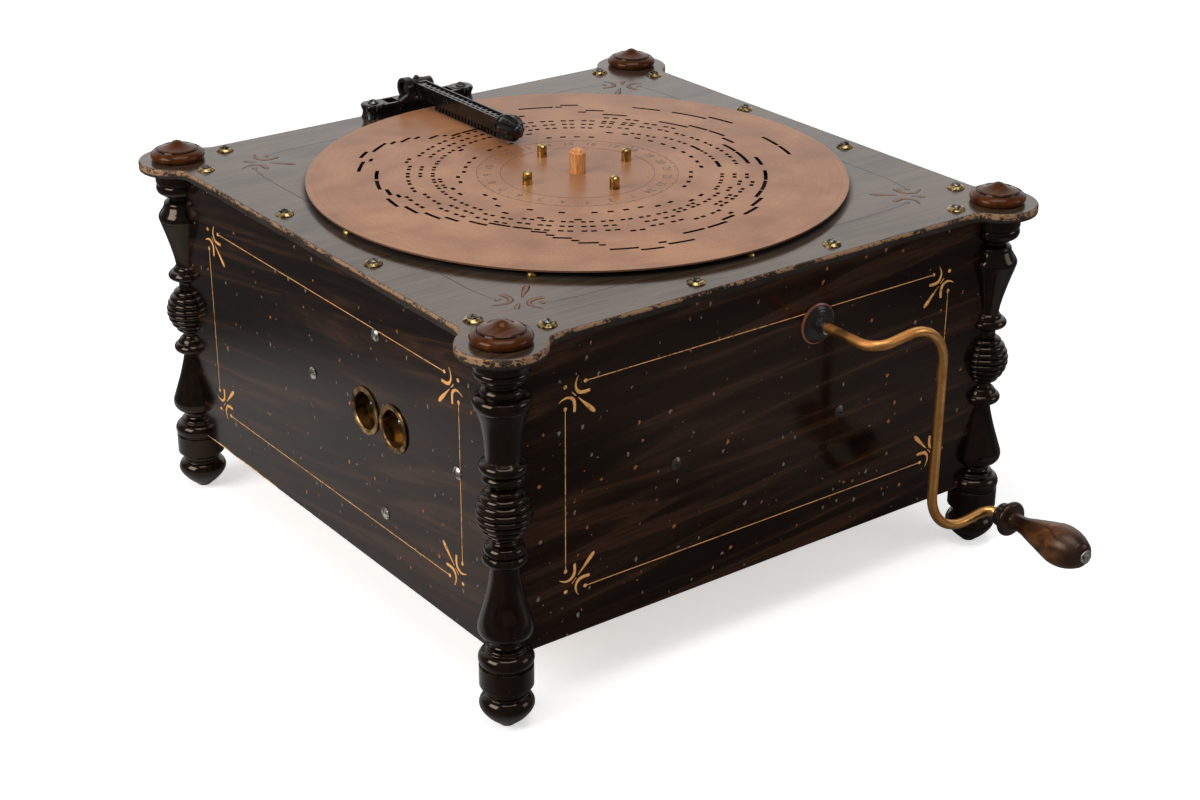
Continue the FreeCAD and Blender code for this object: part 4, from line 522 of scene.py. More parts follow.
    def dress(self, tree: Tree, surface: Shader, coords: Socket) -> None:
        """Combs, knocks and polishes the panel.

        Args:
            tree: The node tree.
            surface: Its Principled shader.
            coords: Object coordinates in metres.
        """
        height = add(tree, "SeparateXYZ", {0: coords}).outputs[2]
        pores = self.pores.value(tree, coords)
        colour = self.combed(tree, coords, pores)
        more = self.wear(tree, coords, height)
        chips = self.ground_chips.mask(tree, coords, more)
        for mask, chip in ((chips, self.ground), (self.wood_chips.mask(tree, coords, more), self.wood),
                           (self.scratches.mask(tree, coords), self.scratched)):
            colour = add(tree, "Mix", {0: mask, 6: colour, 7: chip}, data_type="RGBA").outputs[2]
        edge = self.foot_edge(tree, coords)
        bare = add(tree, "Math", {0: height, 1: edge}, operation="LESS_THAN").outputs[0]
        colour = add(tree, "Mix", {0: bare, 6: colour, 7: self.bare_pine}, data_type="RGBA").outputs[2]
        bloom = self.bloom.value(tree, coords)
        links = {"Value": bloom, "From Min": LOW, "From Max": HIGH,
                 "To Min": self.gloss[0], "To Max": self.gloss[1]}
        gloss = add(tree, "MapRange", links).outputs[0]
        rough = add(tree, "Mix", {0: chips, 2: gloss, 3: self.chip_gloss}).outputs[0]
        links = {"Height": pores, "Distance": self.pore_depth_mm * MM, "Strength": 0.35}
        normal = add(tree, "Bump", links).outputs[0]
        film = add(tree, "Math", {0: 1.0, 1: chips}, operation="SUBTRACT").outputs[0]
        links = {"Height": film, "Distance": self.chip_depth_mm * MM, "Strength": 0.7, "Normal": normal}
        normal = add(tree, "Bump", links).outputs[0]
        join(tree, surface, {"Base Color": colour, "Roughness": rough, "Normal": normal,
                             "Specular IOR Level": self.level, "Specular Tint": self.tint})


@dataclass(frozen=True)
class ShellacBoard(Finish):
    """Top board: stained pine under dulled shellac, grain along X, its rim worn to speckled brown wood."""

    grain: Figure = Figure((60.0, 1.1, 60.0), 4.0, 0.8)
    cloud: Figure = Figure((90.0, 40.0, 90.0), 5.0, 0.6, 3.0)
    specks: Flecks = Flecks((2.6, 0.7, 2.6), 24.0, 0.22, 2.7)
    rim_specks: Flecks = Flecks((2.2, 2.2, 1.4), 12.0, 0.58, 6.4, 0.06)
    tones: Stops = ((0.36, "#2c1f17"), (0.66, "#473729"), (0.48, "#372a20"))
    speck: str = "#1b1613"
    # Painted shadow: the board under the disc and just past its rim is painted near black.
    covered: str = "#0f0a08"
    rim_wood: tuple[str, str] = ("#2a1b12", "#8f6b4b")
    rim_black: str = "#150d09"
    top_mm: float = 228.0
    under_disc_mm: tuple[float, float] = (162.0, 169.0)
    ears_mm: tuple[float, float] = (140.0, 165.0)
    worn_mm: tuple[float, float] = (0.9, 2.6)
    mottle_mm: float = 1.6
    worn_fade_mm: float = 0.8
    rim_turn: tuple[float, float] = (0.90, 0.98)
    rim_ragged: float = 0.12
    cloud_shade: tuple[float, float] = (0.85, 1.2)
    gloss: tuple[float, float] = (0.13, 0.21)
    covered_gloss: float = 0.9
    rim_gloss: float = 0.75
    grain_depth_mm: float = 0.02
    grain_shine: float = 0.16
    least_shine: float = 0.62
    tint: str = "#ffe9d6"

    def face(self, tree: Tree, coords: Socket, grain: Socket, cloud: Socket) -> Socket:
        """Stains the board's face and scatters dark specks on it.

        Args:
            tree: The node tree.
            coords: Object coordinates.
            grain: The grain's height.
            cloud: How the film drifts.

        Returns:
            The colour.
        """
        film = add(tree, "ValToRGB", {0: grain}, stops=self.tones).outputs[0]
        links = {"Value": cloud, "From Min": LOW, "From Max": HIGH,
                 "To Min": self.cloud_shade[0], "To Max": self.cloud_shade[1]}
        shade = add(tree, "MapRange", links).outputs[0]
        film = add(tree, "VectorMath", {0: film, "Scale": shade}, operation="SCALE").outputs[0]
        specks = self.specks.mask(tree, coords)
        return add(tree, "Mix", {0: specks, 6: film, 7: self.speck}, data_type="RGBA").outputs[2]

    def rim(self, tree: Tree, coords: Socket, mottle: Socket) -> Socket:
        """Wears the rim from the top edge down, further on the corner ears.

        Args:
            tree: The node tree.
            coords: Object coordinates.
            mottle: 1 in a speck of the worn rim.

        Returns:
            The colour.
        """
        links = {0: mottle, 6: self.rim_wood[0], 7: self.rim_wood[1]}
        wood = add(tree, "Mix", links, data_type="RGBA").outputs[2]
        folded = add(tree, "VectorMath", {0: coords}, operation="ABSOLUTE").outputs[0]
        x, y, z = add(tree, "SeparateXYZ", {0: folded}).outputs
        shorter = add(tree, "Math", {0: x, 1: y}, operation="MINIMUM").outputs[0]
        links = {"Value": shorter, "From Min": self.ears_mm[0] * MM, "From Max": self.ears_mm[1] * MM,
                 "To Min": self.worn_mm[0] * MM, "To Max": self.worn_mm[1] * MM}
        worn = add(tree, "MapRange", links).outputs[0]
        below_top = add(tree, "Math", {0: self.top_mm * MM, 1: z}, operation="SUBTRACT").outputs[0]
        bare = add(tree, "Math", {0: worn, 1: below_top}, operation="SUBTRACT").outputs[0]
        links = {0: mottle, 1: self.mottle_mm * MM, 2: bare}
        bare = add(tree, "Math", links, operation="MULTIPLY_ADD").outputs[0]
        links = {"Value": bare, "From Min": 0.0, "From Max": self.worn_fade_mm * MM}
        bare = add(tree, "MapRange", links).outputs[0]
        return add(tree, "Mix", {0: bare, 6: self.rim_black, 7: wood}, data_type="RGBA").outputs[2]

    def shine(self, tree: Tree, grain: Socket, cloud: Socket) -> Socket:
        """Lets the shine follow the grain and the dulled clouds.

        Args:
            tree: The node tree.
            grain: The grain's height.
            cloud: How the film drifts.

        Returns:
            The specular level.
        """
        links = {"Value": grain, "From Min": 0.36, "From Max": 0.66,
                 "To Min": -self.grain_shine, "To Max": self.grain_shine}
        lift = add(tree, "MapRange", links).outputs[0]
        links = {"Value": cloud, "From Min": 0.36, "From Max": 0.62, "To Min": self.least_shine, "To Max": 1.0}
        shine = add(tree, "MapRange", links).outputs[0]
        return add(tree, "Math", {0: shine, 1: lift}, operation="ADD", use_clamp=True).outputs[0]

    def dress(self, tree: Tree, surface: Shader, coords: Socket) -> None:
        """Stains and dulls the board, dark where the disc keeps the light off it.

        Args:
            tree: The node tree.
            surface: Its Principled shader.
            coords: Object coordinates in metres.
        """
        grain = self.grain.value(tree, coords)
        cloud = self.cloud.value(tree, coords)
        film = self.face(tree, coords, grain, cloud)
        # The painted shadow of the disc: near black inside under_disc_mm, fading to the stained film outside
        # it.
        inner, outer = self.under_disc_mm
        links = {"Value": off_axis(tree, coords), "From Min": inner * MM, "From Max": outer * MM}
        outside_disc_shadow = add(tree, "MapRange", links).outputs[0]
        film = add(tree, "Mix", {0: outside_disc_shadow, 6: self.covered, 7: film}, data_type="RGBA").outputs[2]
        mottle = self.rim_specks.mask(tree, coords)
        rim = self.rim(tree, coords, mottle)
        normal = add(tree, "NewGeometry").outputs["Normal"]
        upright = add(tree, "SeparateXYZ", {0: normal}).outputs[2]
        links = {0: mottle, 1: self.rim_ragged, 2: upright}
        ragged = add(tree, "Math", links, operation="MULTIPLY_ADD").outputs[0]
        links = {"Value": ragged, "From Min": self.rim_turn[0], "From Max": self.rim_turn[1]}
        on_top = add(tree, "MapRange", links).outputs[0]
        colour = add(tree, "Mix", {0: on_top, 6: rim, 7: film}, data_type="RGBA").outputs[2]
        links = {"Value": cloud, "From Min": 0.3, "From Max": 0.7,
                 "To Min": self.gloss[0], "To Max": self.gloss[1]}
        gloss = add(tree, "MapRange", links).outputs[0]
        gloss = add(tree, "Mix", {0: outside_disc_shadow, 2: self.covered_gloss, 3: gloss}).outputs[0]
        rough = add(tree, "Mix", {0: on_top, 2: self.rim_gloss, 3: gloss}).outputs[0]
        links = {"Height": grain, "Distance": self.grain_depth_mm * MM, "Strength": 0.3}
        bumps = add(tree, "Bump", links).outputs[0]
        join(tree, surface, {"Base Color": colour, "Roughness": rough, "Normal": bumps,
                             "Specular IOR Level": self.shine(tree, grain, cloud),
                             "Specular Tint": self.tint})


@dataclass(frozen=True)
class PolishedWood(Finish):
    """Wood under polish or bare: three tones along the grain, fine pores and a gloss that drifts."""

    dark: str
    middle: str
    light: str
    grain: Figure
    gloss: tuple[float, float]
    level: float = 0.5
    depth_mm: float = 0.04
    drift: Figure = Figure((25.0, 25.0, 25.0), 2.0, 0.2, 4.0)
    tint: str = "#ffe3c8"

    def tone(self, tree: Tree, coords: Socket) -> tuple[Socket, Socket]:
        """Adds the grain's colours.

        Args:
            tree: The node tree.
            coords: Object coordinates.

        Returns:
            The colour and the grain's height.
        """
        grain = self.grain.value(tree, coords)
        tones = ((0.33, self.dark), (0.68, self.light), (0.5, self.middle))
        return add(tree, "ValToRGB", {0: grain}, stops=tones).outputs[0], grain

    def dress(self, tree: Tree, surface: Shader, coords: Socket) -> None:
        """Stains and polishes the wood.

        Args:
            tree: The node tree.
            surface: Its Principled shader.
            coords: Object coordinates in metres.
        """
        colour, grain = self.tone(tree, coords)
        links = {"Value": self.drift.value(tree, coords), "From Min": LOW, "From Max": HIGH,
                 "To Min": self.gloss[0], "To Max": self.gloss[1]}
        rough = add(tree, "MapRange", links).outputs[0]
        links = {"Height": grain, "Distance": self.depth_mm * MM, "Strength": 0.4}
        normal = add(tree, "Bump", links).outputs[0]
        join(tree, surface, {"Base Color": colour, "Roughness": rough, "Normal": normal,
                             "Specular IOR Level": self.level, "Specular Tint": self.tint})


@dataclass(frozen=True)
class RubbedPost(PolishedWood):
    """Turned posts: ebonised and polished, rubbed to red-brown in small places, with fine lathe rings."""

    rubs: Flecks = Flecks((3.0, 3.0, 1.6), 26.0, 0.12, 9.2, 0.04)
    rubbed: str = "#3d1c11"
    lathe: Figure = Figure((400.0, 400.0, 0.9), 2.0, 0.0, 1.0)

    def tone(self, tree: Tree, coords: Socket) -> tuple[Socket, Socket]:
        """Rubs the ebonised wood in places.

        Args:
            tree: The node tree.
            coords: Object coordinates.

        Returns:
            The colour and the lathe rings' height.
        """
        colour, _ = super().tone(tree, coords)
        rubs = self.rubs.mask(tree, coords)
        colour = add(tree, "Mix", {0: rubs, 6: colour, 7: self.rubbed}, data_type="RGBA").outputs[2]
        return colour, self.lathe.value(tree, coords)


@dataclass(frozen=True)
class CapMahogany(PolishedWood):
    """Post caps: polished mahogany, dark in the ring groove."""

    post_axis_mm: float = 179.0
    groove_mm: float = 12.7
    groove_fade_mm: tuple[float, float] = (0.2, 1.3)
    # Painted shade in the ring groove round each cap.
    grimed: str = "#1d0d07"

    def tone(self, tree: Tree, coords: Socket) -> tuple[Socket, Socket]:
        """Paints shade into the groove round each cap.

        Args:
            tree: The node tree.
            coords: Object coordinates.

        Returns:
            The colour and the grain's height.
        """
        colour, grain = super().tone(tree, coords)
        folded = add(tree, "VectorMath", {0: coords}, operation="ABSOLUTE").outputs[0]
        axis = (self.post_axis_mm * MM, self.post_axis_mm * MM, 0.0)
        from_axis = add(tree, "VectorMath", {0: folded, 1: axis}, operation="SUBTRACT").outputs[0]
        off = away(tree, off_axis(tree, from_axis), self.groove_mm * MM)
        near, far = self.groove_fade_mm
        links = {"Value": off, "From Min": near * MM, "From Max": far * MM, "To Min": 1.0, "To Max": 0.0}
        groove = add(tree, "MapRange", links).outputs[0]
        colour = add(tree, "Mix", {0: groove, 6: colour, 7: self.grimed}, data_type="RGBA").outputs[2]
        return colour, grain


@dataclass(frozen=True)
class WornGrip(PolishedWood):
    """Crank grip: turned fruitwood, darkened by hands at its ends and rubbed bright round its belly."""

    belly_m: float = -0.279
    bright_mm: tuple[float, float] = (10.0, 25.0)
    wander_mm: float = 9.0
    handled: str = "#24130c"

    def tone(self, tree: Tree, coords: Socket) -> tuple[Socket, Socket]:
        """Darkens the grip away from its belly.

        Args:
            tree: The node tree.
            coords: Object coordinates.

        Returns:
            The colour and the grain's height.
        """
        colour, grain = super().tone(tree, coords)
        along = add(tree, "SeparateXYZ", {0: coords}).outputs[1]
        links = {0: grain, 1: self.wander_mm * MM, 2: away(tree, along, self.belly_m)}
        blur = add(tree, "Math", links, operation="MULTIPLY_ADD").outputs[0]
        near, far = self.bright_mm
        mask = add(tree, "MapRange", {"Value": blur, "From Min": near * MM, "From Max": far * MM}).outputs[0]
        colour = add(tree, "Mix", {0: mask, 6: colour, 7: self.handled}, data_type="RGBA").outputs[2]
        return colour, grain


@dataclass(frozen=True)
class PressedCard(Finish):
    """The disc: thick pressed card, salmon brown, clouded by handling and dark on its cut edges; its slot
    walls and underside take painted shade.
    """

    cloud: Figure = Figure((38.0, 38.0, 38.0), 3.0, 0.3)
    tones: Stops = ((0.34, "#885b3c"), (0.66, "#a5744f"), (0.5, "#986747"))
    # Real fibres are far finer. They are drawn coarser so that they show.
    fibre: Figure = Figure((1.4, 1.4, 1.4), 3.0, 0.0, 2.0)
    scuffs: Figure = Figure((1.3, 1.0, 1.0), 3.0, 0.0, 0.6)
    stains: Flecks = Flecks((5.0, 5.0, 5.0), 45.0, 0.18, 5.0, 0.12)
    stain: str = "#8a6348"
    specks: Flecks = Flecks((0.8, 0.8, 0.8), 30.0, 0.08, 7.0)
    speck: str = "#6e4f3a"
    radius_mm: float = 165.0
    crease_inset_mm: float = 4.5
    crease_fade_mm: tuple[float, float] = (0.1, 0.7)
    creased: str = "#7a5238"
    handled_mm: tuple[float, float] = (35.0, 75.0)
    handled: str = "#7f563a"
    rim_mm: float = 2.2
    rubbed_rim: str = "#8c6448"
    # Painted shade: the slot walls and the underside inside the rim are near black.
    slot_wall: str = "#150c08"
    outer_wall: str = "#6b4a35"
    fibre_shade: tuple[float, float] = (0.86, 1.14)
    scuff_shade: tuple[float, float] = (0.965, 1.035)
    crease_share: float = 0.45
    handled_share: float = 0.5
    fibre_depth_mm: float = 0.05
    cloud_depth_mm: float = 0.5
    gloss: float = 0.30
    level: float = 0.22
    tint: str = "#ffe6d2"

    def face(self, tree: Tree, coords: Socket, cloud: Socket, fibre: Socket, radius: Socket) -> Socket:
        """Colours the card: clouds, fibres, scuffs in rings, stains and specks.

        Args:
            tree: The node tree.
            coords: Object coordinates.
            cloud: How the card is clouded.
            fibre: The fibres' height.
            radius: The distance from the disc's axis.

        Returns:
            The colour.
        """
        face = add(tree, "ValToRGB", {0: cloud}, stops=self.tones).outputs[0]
        ring = add(tree, "CombineXYZ", {0: radius}).outputs[0]
        scuffs = self.scuffs.value(tree, ring)
        for value, low, high, shades in ((fibre, 0.3, 0.7, self.fibre_shade),
                                         (scuffs, LOW, HIGH, self.scuff_shade)):
            links = {"Value": value, "From Min": low, "From Max": high,
                     "To Min": shades[0], "To Max": shades[1]}
            shade = add(tree, "MapRange", links).outputs[0]
            face = add(tree, "VectorMath", {0: face, "Scale": shade}, operation="SCALE").outputs[0]
        for pattern, mark in ((self.stains, self.stain), (self.specks, self.speck)):
            links = {0: pattern.mask(tree, coords), 6: face, 7: mark}
            face = add(tree, "Mix", links, data_type="RGBA").outputs[2]
        return face

    def handling(self, tree: Tree, face: Socket, cloud: Socket, radius: Socket) -> Socket:
        """Adds the crease near the rim and the dirt of hands round the middle.

        Args:
            tree: The node tree.
            face: The card's colour.
            cloud: How the card is clouded.
            radius: The distance from the disc's axis.

        Returns:
            The colour.
        """
        off = away(tree, radius, (self.radius_mm - self.crease_inset_mm) * MM)
        near, far = self.crease_fade_mm
        links = {"Value": off, "From Min": near * MM, "From Max": far * MM,
                 "To Min": self.crease_share, "To Max": 0.0}
        crease = add(tree, "MapRange", links).outputs[0]
        face = add(tree, "Mix", {0: crease, 6: face, 7: self.creased}, data_type="RGBA").outputs[2]
        near, far = self.handled_mm
        links = {"Value": radius, "From Min": near * MM, "From Max": far * MM,
                 "To Min": self.handled_share, "To Max": 0.0}
        handled = add(tree, "MapRange", links).outputs[0]
        handled = add(tree, "Math", {0: handled, 1: cloud}, operation="MULTIPLY").outputs[0]
        return add(tree, "Mix", {0: handled, 6: face, 7: self.handled}, data_type="RGBA").outputs[2]

    def dress(self, tree: Tree, surface: Shader, coords: Socket) -> None:
        """Colours the card's face and its rubbed rim, and paints shade near black on its slot walls and
        underside.

        Args:
            tree: The node tree.
            surface: Its Principled shader.
            coords: Object coordinates in metres.
        """
        cloud = self.cloud.value(tree, coords)
        fibre = self.fibre.value(tree, coords)
        radius = off_axis(tree, coords)
        face = self.face(tree, coords, cloud, fibre, radius)
        face = self.handling(tree, face, cloud, radius)
        links = {"Value": radius, "From Min": (self.radius_mm - self.rim_mm) * MM,
                 "From Max": self.radius_mm * MM}
        rim = add(tree, "MapRange", links).outputs[0]
        face = add(tree, "Mix", {0: rim, 6: face, 7: self.rubbed_rim}, data_type="RGBA").outputs[2]
        # Walls and underside: near-black painted shade inside the rim, the darker card edge at the rim itself.
        links = {0: rim, 6: self.slot_wall, 7: self.outer_wall}
        walls_and_underside = add(tree, "Mix", links, data_type="RGBA").outputs[2]
        normal = add(tree, "NewGeometry").outputs["Normal"]
        upright = add(tree, "SeparateXYZ", {0: normal}).outputs[2]
        on_face = add(tree, "MapRange", {"Value": upright, "From Min": 0.3, "From Max": 0.9}).outputs[0]
        colour = add(tree, "Mix", {0: on_face, 6: walls_and_underside, 7: face}, data_type="RGBA").outputs[2]
        links = {"Height": fibre, "Distance": self.fibre_depth_mm * MM, "Strength": 0.35}
        bumps = add(tree, "Bump", links).outputs[0]
        links = {"Height": cloud, "Distance": self.cloud_depth_mm * MM, "Strength": 0.12, "Normal": bumps}
        bumps = add(tree, "Bump", links).outputs[0]
        join(tree, surface, {"Base Color": colour, "Normal": bumps, "Roughness": self.gloss,
                             "Specular IOR Level": self.level, "Specular Tint": self.tint})


@dataclass(frozen=True)
class PaintedIron(Finish):
    """Japanned cast iron: thick black enamel over sandy casting, rubbed to grey metal in flecks."""

    enamel: str = "#0d0b0a"
    bare: str = "#3d3834"
    share: float = 0.22
    dusty: str = "#1d1815"
    # Casting sand is finer. It is drawn coarser so that it shows.
    skin: Figure = Figure((1.6, 1.6, 1.6), 3.0, 0.1)
    dust: Figure = Figure((9.0, 9.0, 9.0), 3.0, 0.2, 6.0)
    rub_mm: float = 1.6
    rub_cluster_mm: float = 9.0
    sand_depth_mm: float = 0.12
    gloss: float = 0.17
    rubbed_gloss: float = 0.42

    def dress(self, tree: Tree, surface: Shader, coords: Socket) -> None:
        """Enamels the casting and rubs it.

        Args:
            tree: The node tree.
            surface: Its Principled shader.
            coords: Object coordinates in metres.
        """
        rubs = Flecks((self.rub_mm,) * 3, self.rub_cluster_mm, self.share, 3.3, 0.05).mask(tree, coords)
        tones = ((0.4, self.enamel), (0.7, self.dusty))
        base = add(tree, "ValToRGB", {0: self.dust.value(tree, coords)}, stops=tones).outputs[0]
        colour = add(tree, "Mix", {0: rubs, 6: base, 7: self.bare}, data_type="RGBA").outputs[2]
        rough = add(tree, "Mix", {0: rubs, 2: self.gloss, 3: self.rubbed_gloss}).outputs[0]
        skin = self.skin.value(tree, coords)
        links = {"Height": skin, "Distance": self.sand_depth_mm * MM, "Strength": 0.45}
        normal = add(tree, "Bump", links).outputs[0]
        join(tree, surface, {"Base Color": colour, "Roughness": rough, "Normal": normal})


@dataclass(frozen=True)
class ShaftPlate(PaintedIron):
    """Escutcheon: a blackened dome turned in rings, inside a rubbed copper rim."""

    centre_m: Triple = (0.0358, 0.0, 0.185)
    rim_mm: float = 11.2
    rim_fade_mm: float = 0.3
    copper: str = "#7c4731"
    ring_pitch_mm: float = 1.5
    ring_depth_mm: float = 0.1

    def dress(self, tree: Tree, surface: Shader, coords: Socket) -> None:
        """Turns rings into the enamelled dome and bares its rim.

        Args:
            tree: The node tree.
            surface: Its Principled shader.
            coords: Object coordinates in metres.
        """
        super().dress(tree, surface, coords)
        across = add(tree, "VectorMath", {0: coords, 1: self.centre_m}, operation="SUBTRACT").outputs[0]
        radius = off_axis(tree, across, (1.0, 0.0, 1.0))
        links = {"Value": radius, "From Min": self.rim_mm * MM,
                 "From Max": (self.rim_mm + self.rim_fade_mm) * MM}
        rim = add(tree, "MapRange", links).outputs[0]
        black = surface.inputs["Base Color"].links[0].from_socket
        colour = add(tree, "Mix", {0: rim, 6: black, 7: self.copper}, data_type="RGBA").outputs[2]
        links = {0: radius, 1: 2 * math.pi / (self.ring_pitch_mm * MM)}
        turns = add(tree, "Math", links, operation="MULTIPLY").outputs[0]
        rings = add(tree, "Math", {0: turns}, operation="SINE").outputs[0]
        links = {"Height": rings, "Distance": self.ring_depth_mm * MM, "Strength": 0.6}
        normal = add(tree, "Bump", links).outputs[0]
        join(tree, surface, {"Base Color": colour, "Normal": normal})


@dataclass(frozen=True)
class AgedMetal(Finish):
    """Bare metal with age: a bright tone, a tarnish that clouds and dulls it, and fine rubbing marks.

    Tarnish shows where its noise is over a height that falls from highest by drop as the share grows.
    """

    bright: str
    tarnish: str
    share: float
    gloss: float
    patch_mm: float = 5.0
    # Real rubbing marks are hairlines. They are drawn coarser so that they show.
    marks: Figure = Figure((0.5, 0.5, 0.5), 2.0, 0.0)
    mark_depth_mm: float = 0.01
    dulled: float = 0.25
    highest: float = 0.62
    drop: float = 0.24
    blur: float = 0.1

    def dress(self, tree: Tree, surface: Shader, coords: Socket) -> None:
        """Tarnishes and rubs the metal.

        Args:
            tree: The node tree.
            surface: Its Principled shader.
            coords: Object coordinates in metres.
        """
        patch = Figure((self.patch_mm,) * 3, 4.0, 0.6, 2.0).value(tree, coords)
        middle = self.highest - self.drop * self.share
        links = {"Value": patch, "From Min": middle - self.blur, "From Max": middle + self.blur}
        mask = add(tree, "MapRange", links).outputs[0]
        colour = add(tree, "Mix", {0: mask, 6: self.bright, 7: self.tarnish}, data_type="RGBA").outputs[2]
        links = {"Value": mask, "To Min": self.gloss, "To Max": min(1.0, self.gloss + self.dulled)}
        rough = add(tree, "MapRange", links).outputs[0]
        marks = self.marks.value(tree, coords)
        links = {"Height": marks, "Distance": self.mark_depth_mm * MM, "Strength": 0.4}
        normal = add(tree, "Bump", links).outputs[0]
        join(tree, surface, {"Base Color": colour, "Roughness": rough, "Normal": normal, "Metallic": 1.0})


@dataclass(frozen=True)
class PanelScrew(AgedMetal):
    """Panel screw: rubbed bright on the side panels, darkened by painted shade on the front one."""

    front_mm: float = -170.0
    fade_mm: float = 5.0
    # Painted shade: the screws in the front panel are darkened, as the front takes less light.
    blacked: str = "#6f665d"

    def dress(self, tree: Tree, surface: Shader, coords: Socket) -> None:
        """Tarnishes the screws and darkens those in front with painted shade.

        Args:
            tree: The node tree.
            surface: Its Principled shader.
            coords: Object coordinates in metres.
        """
        super().dress(tree, surface, coords)
        along = add(tree, "SeparateXYZ", {0: coords}).outputs[1]
        links = {"Value": along, "From Min": (self.front_mm - self.fade_mm) * MM,
                 "From Max": self.front_mm * MM}
        side = add(tree, "MapRange", links).outputs[0]
        bright = surface.inputs["Base Color"].links[0].from_socket
        colour = add(tree, "Mix", {0: side, 6: self.blacked, 7: bright}, data_type="RGBA").outputs[2]
        join(tree, surface, {"Base Color": colour})


@dataclass(frozen=True)
class Paint(Finish):
    """A brushed line or ornament: one colour that the brush left thin in places."""

    colour: str
    thin: str
    gloss: float
    starved: Flecks = Flecks((1.8, 1.8, 1.8), 12.0, 0.40, 1.9, 0.08)

    def dress(self, tree: Tree, surface: Shader, coords: Socket) -> None:
        """Brushes the colour on.

        Args:
            tree: The node tree.
            surface: Its Principled shader.
            coords: Object coordinates in metres.
        """
        thin = self.starved.mask(tree, coords)
        colour = add(tree, "Mix", {0: thin, 6: self.colour, 7: self.thin}, data_type="RGBA").outputs[2]
        join(tree, surface, {"Base Color": colour, "Roughness": self.gloss})


@dataclass(frozen=True)
class BellowsLeather(Finish):
    """Thin bellows leather: matt tan with a fine pebbled grain."""

    # Real pebbles are about half of this. They are drawn coarser so that they show.
    pebble_mm: float = 0.9
    cloud: Figure = Figure((20.0, 20.0, 20.0), 3.0)
    tones: Stops = ((LOW, "#5c3c26"), (HIGH, "#7d5636"))
    pebble_depth_mm: float = 0.1
    gloss: float = 0.7

    def dress(self, tree: Tree, surface: Shader, coords: Socket) -> None:
        """Tans and pebbles the leather.

        Args:
            tree: The node tree.
            surface: Its Principled shader.
            coords: Object coordinates in metres.
        """
        links = {"Vector": coords, "Scale": 1 / (self.pebble_mm * MM)}
        pebbles = add(tree, "TexVoronoi", links, feature="SMOOTH_F1").outputs["Distance"]
        colour = add(tree, "ValToRGB", {0: self.cloud.value(tree, coords)}, stops=self.tones).outputs[0]
        links = {"Height": pebbles, "Distance": self.pebble_depth_mm * MM, "Strength": 0.5}
        normal = add(tree, "Bump", links).outputs[0]
        join(tree, surface, {"Base Color": colour, "Normal": normal, "Roughness": self.gloss})


# The finishes of this organ, each named for what the real surface is. What a finish gives the eye stands in
# its class, and here where a class has several.
EBONISED = EbonisedPanel("ebonised_combed_pine")
BOARD = ShellacBoard("dulled_shellac_board")
# Black with a high polish and a faint red warmth at the rubbed places.
POST = RubbedPost("ebonised_turned_beech", "#060302", "#0c0604", "#160a06", Figure((3.0, 3.0, 60.0)),
                  (0.07, 0.14), 0.42, 0.02)
# Dark red-brown under a deep polish.
CAP = CapMahogany("polished_mahogany", "#371a08", "#44210b", "#532a10", Figure((30.0, 2.4, 30.0)),
                  (0.10, 0.17), 0.22)
# Unfinished and matt, yellowed by age.
PINE = PolishedWood("planed_pine", "#9a7546", "#b89160", "#c9a572", Figure((90.0, 3.0, 3.0)),
                    (0.6, 0.75), 0.3)
# Close-grained and orange, rubbed smooth by discs.
PEG = PolishedWood("rubbed_boxwood", "#a4663b", "#cc8852", "#e2a46a", Figure((1.2, 1.2, 9.0)),
                   (0.4, 0.55), 0.3)
GRIP = WornGrip("worn_fruitwood", "#2b170b", "#54331b", "#7a4f2b", Figure((6.0, 12.0, 6.0), 5.0, 0.9),
                (0.25, 0.4), 0.45, 0.05)
CARD = PressedCard("pressed_card")
IRON = PaintedIron("japanned_iron")
# Black enamel that hands have rubbed to brown.
BLACK_RING = PaintedIron("blackened_ferrule", "#0a0807", "#3b2418", 0.26)
SHAFT_PLATE = ShaftPlate("turned_shaft_plate", "#1f1915", "#4b433b", 0.2)
# Warm yellow, brown where it has tarnished.
BRASS = AgedMetal("aged_brass", "#cfab5f", "#6a5228", 0.38, 0.22)
# Pale bronze, nearly black in half of its patches.
WASHER = AgedMetal("bronzed_washer_brass", "#b89d6c", "#33281a", 0.5, 0.28, 2.5)
# Dull yellow under broad brown patches.
CUP_BRASS = AgedMetal("tarnished_cup_brass", "#b48e56", "#443218", 0.6, 0.28, 9.0)
# Orange and satin, browner in a few broad patches.
COPPERED = AgedMetal("copper_washed_rod", "#f4b46a", "#cf8d50", 0.25, 0.32, 18.0)
PANEL_SCREW = PanelScrew("worn_panel_screw", "#d8d2c8", "#4c4640", 0.35, 0.25)
# Light grey with darker clouds.
STEEL = AgedMetal("bright_steel", "#cfc9c0", "#4c4640", 0.4, 0.25)
# Grey, nearly black in half of its patches.
DARK_STEEL = AgedMetal("dulled_screw_steel", "#8b857e", "#2c2724", 0.5, 0.3, 2.5)
# Bronze paint, a matt gold that is brown where it is thin.
GILT = Paint("gilt_lining", "#e2a158", "#9a632f", 0.5)
# Black paint, brown where it is thin.
DARK_LINE = Paint("dark_board_lining", "#1d1512", "#2b221d", 0.5)
# Amber paint that lets the dark board through.
AMBER_FILL = Paint("amber_board_fill", "#7b4d29", "#4f321e", 0.45)
# Brown ink sunk into the card.
PRINT = Paint("faded_printing_ink", "#5c463a", "#8f7059", 0.6)
LEATHER = BellowsLeather("bellows_leather")

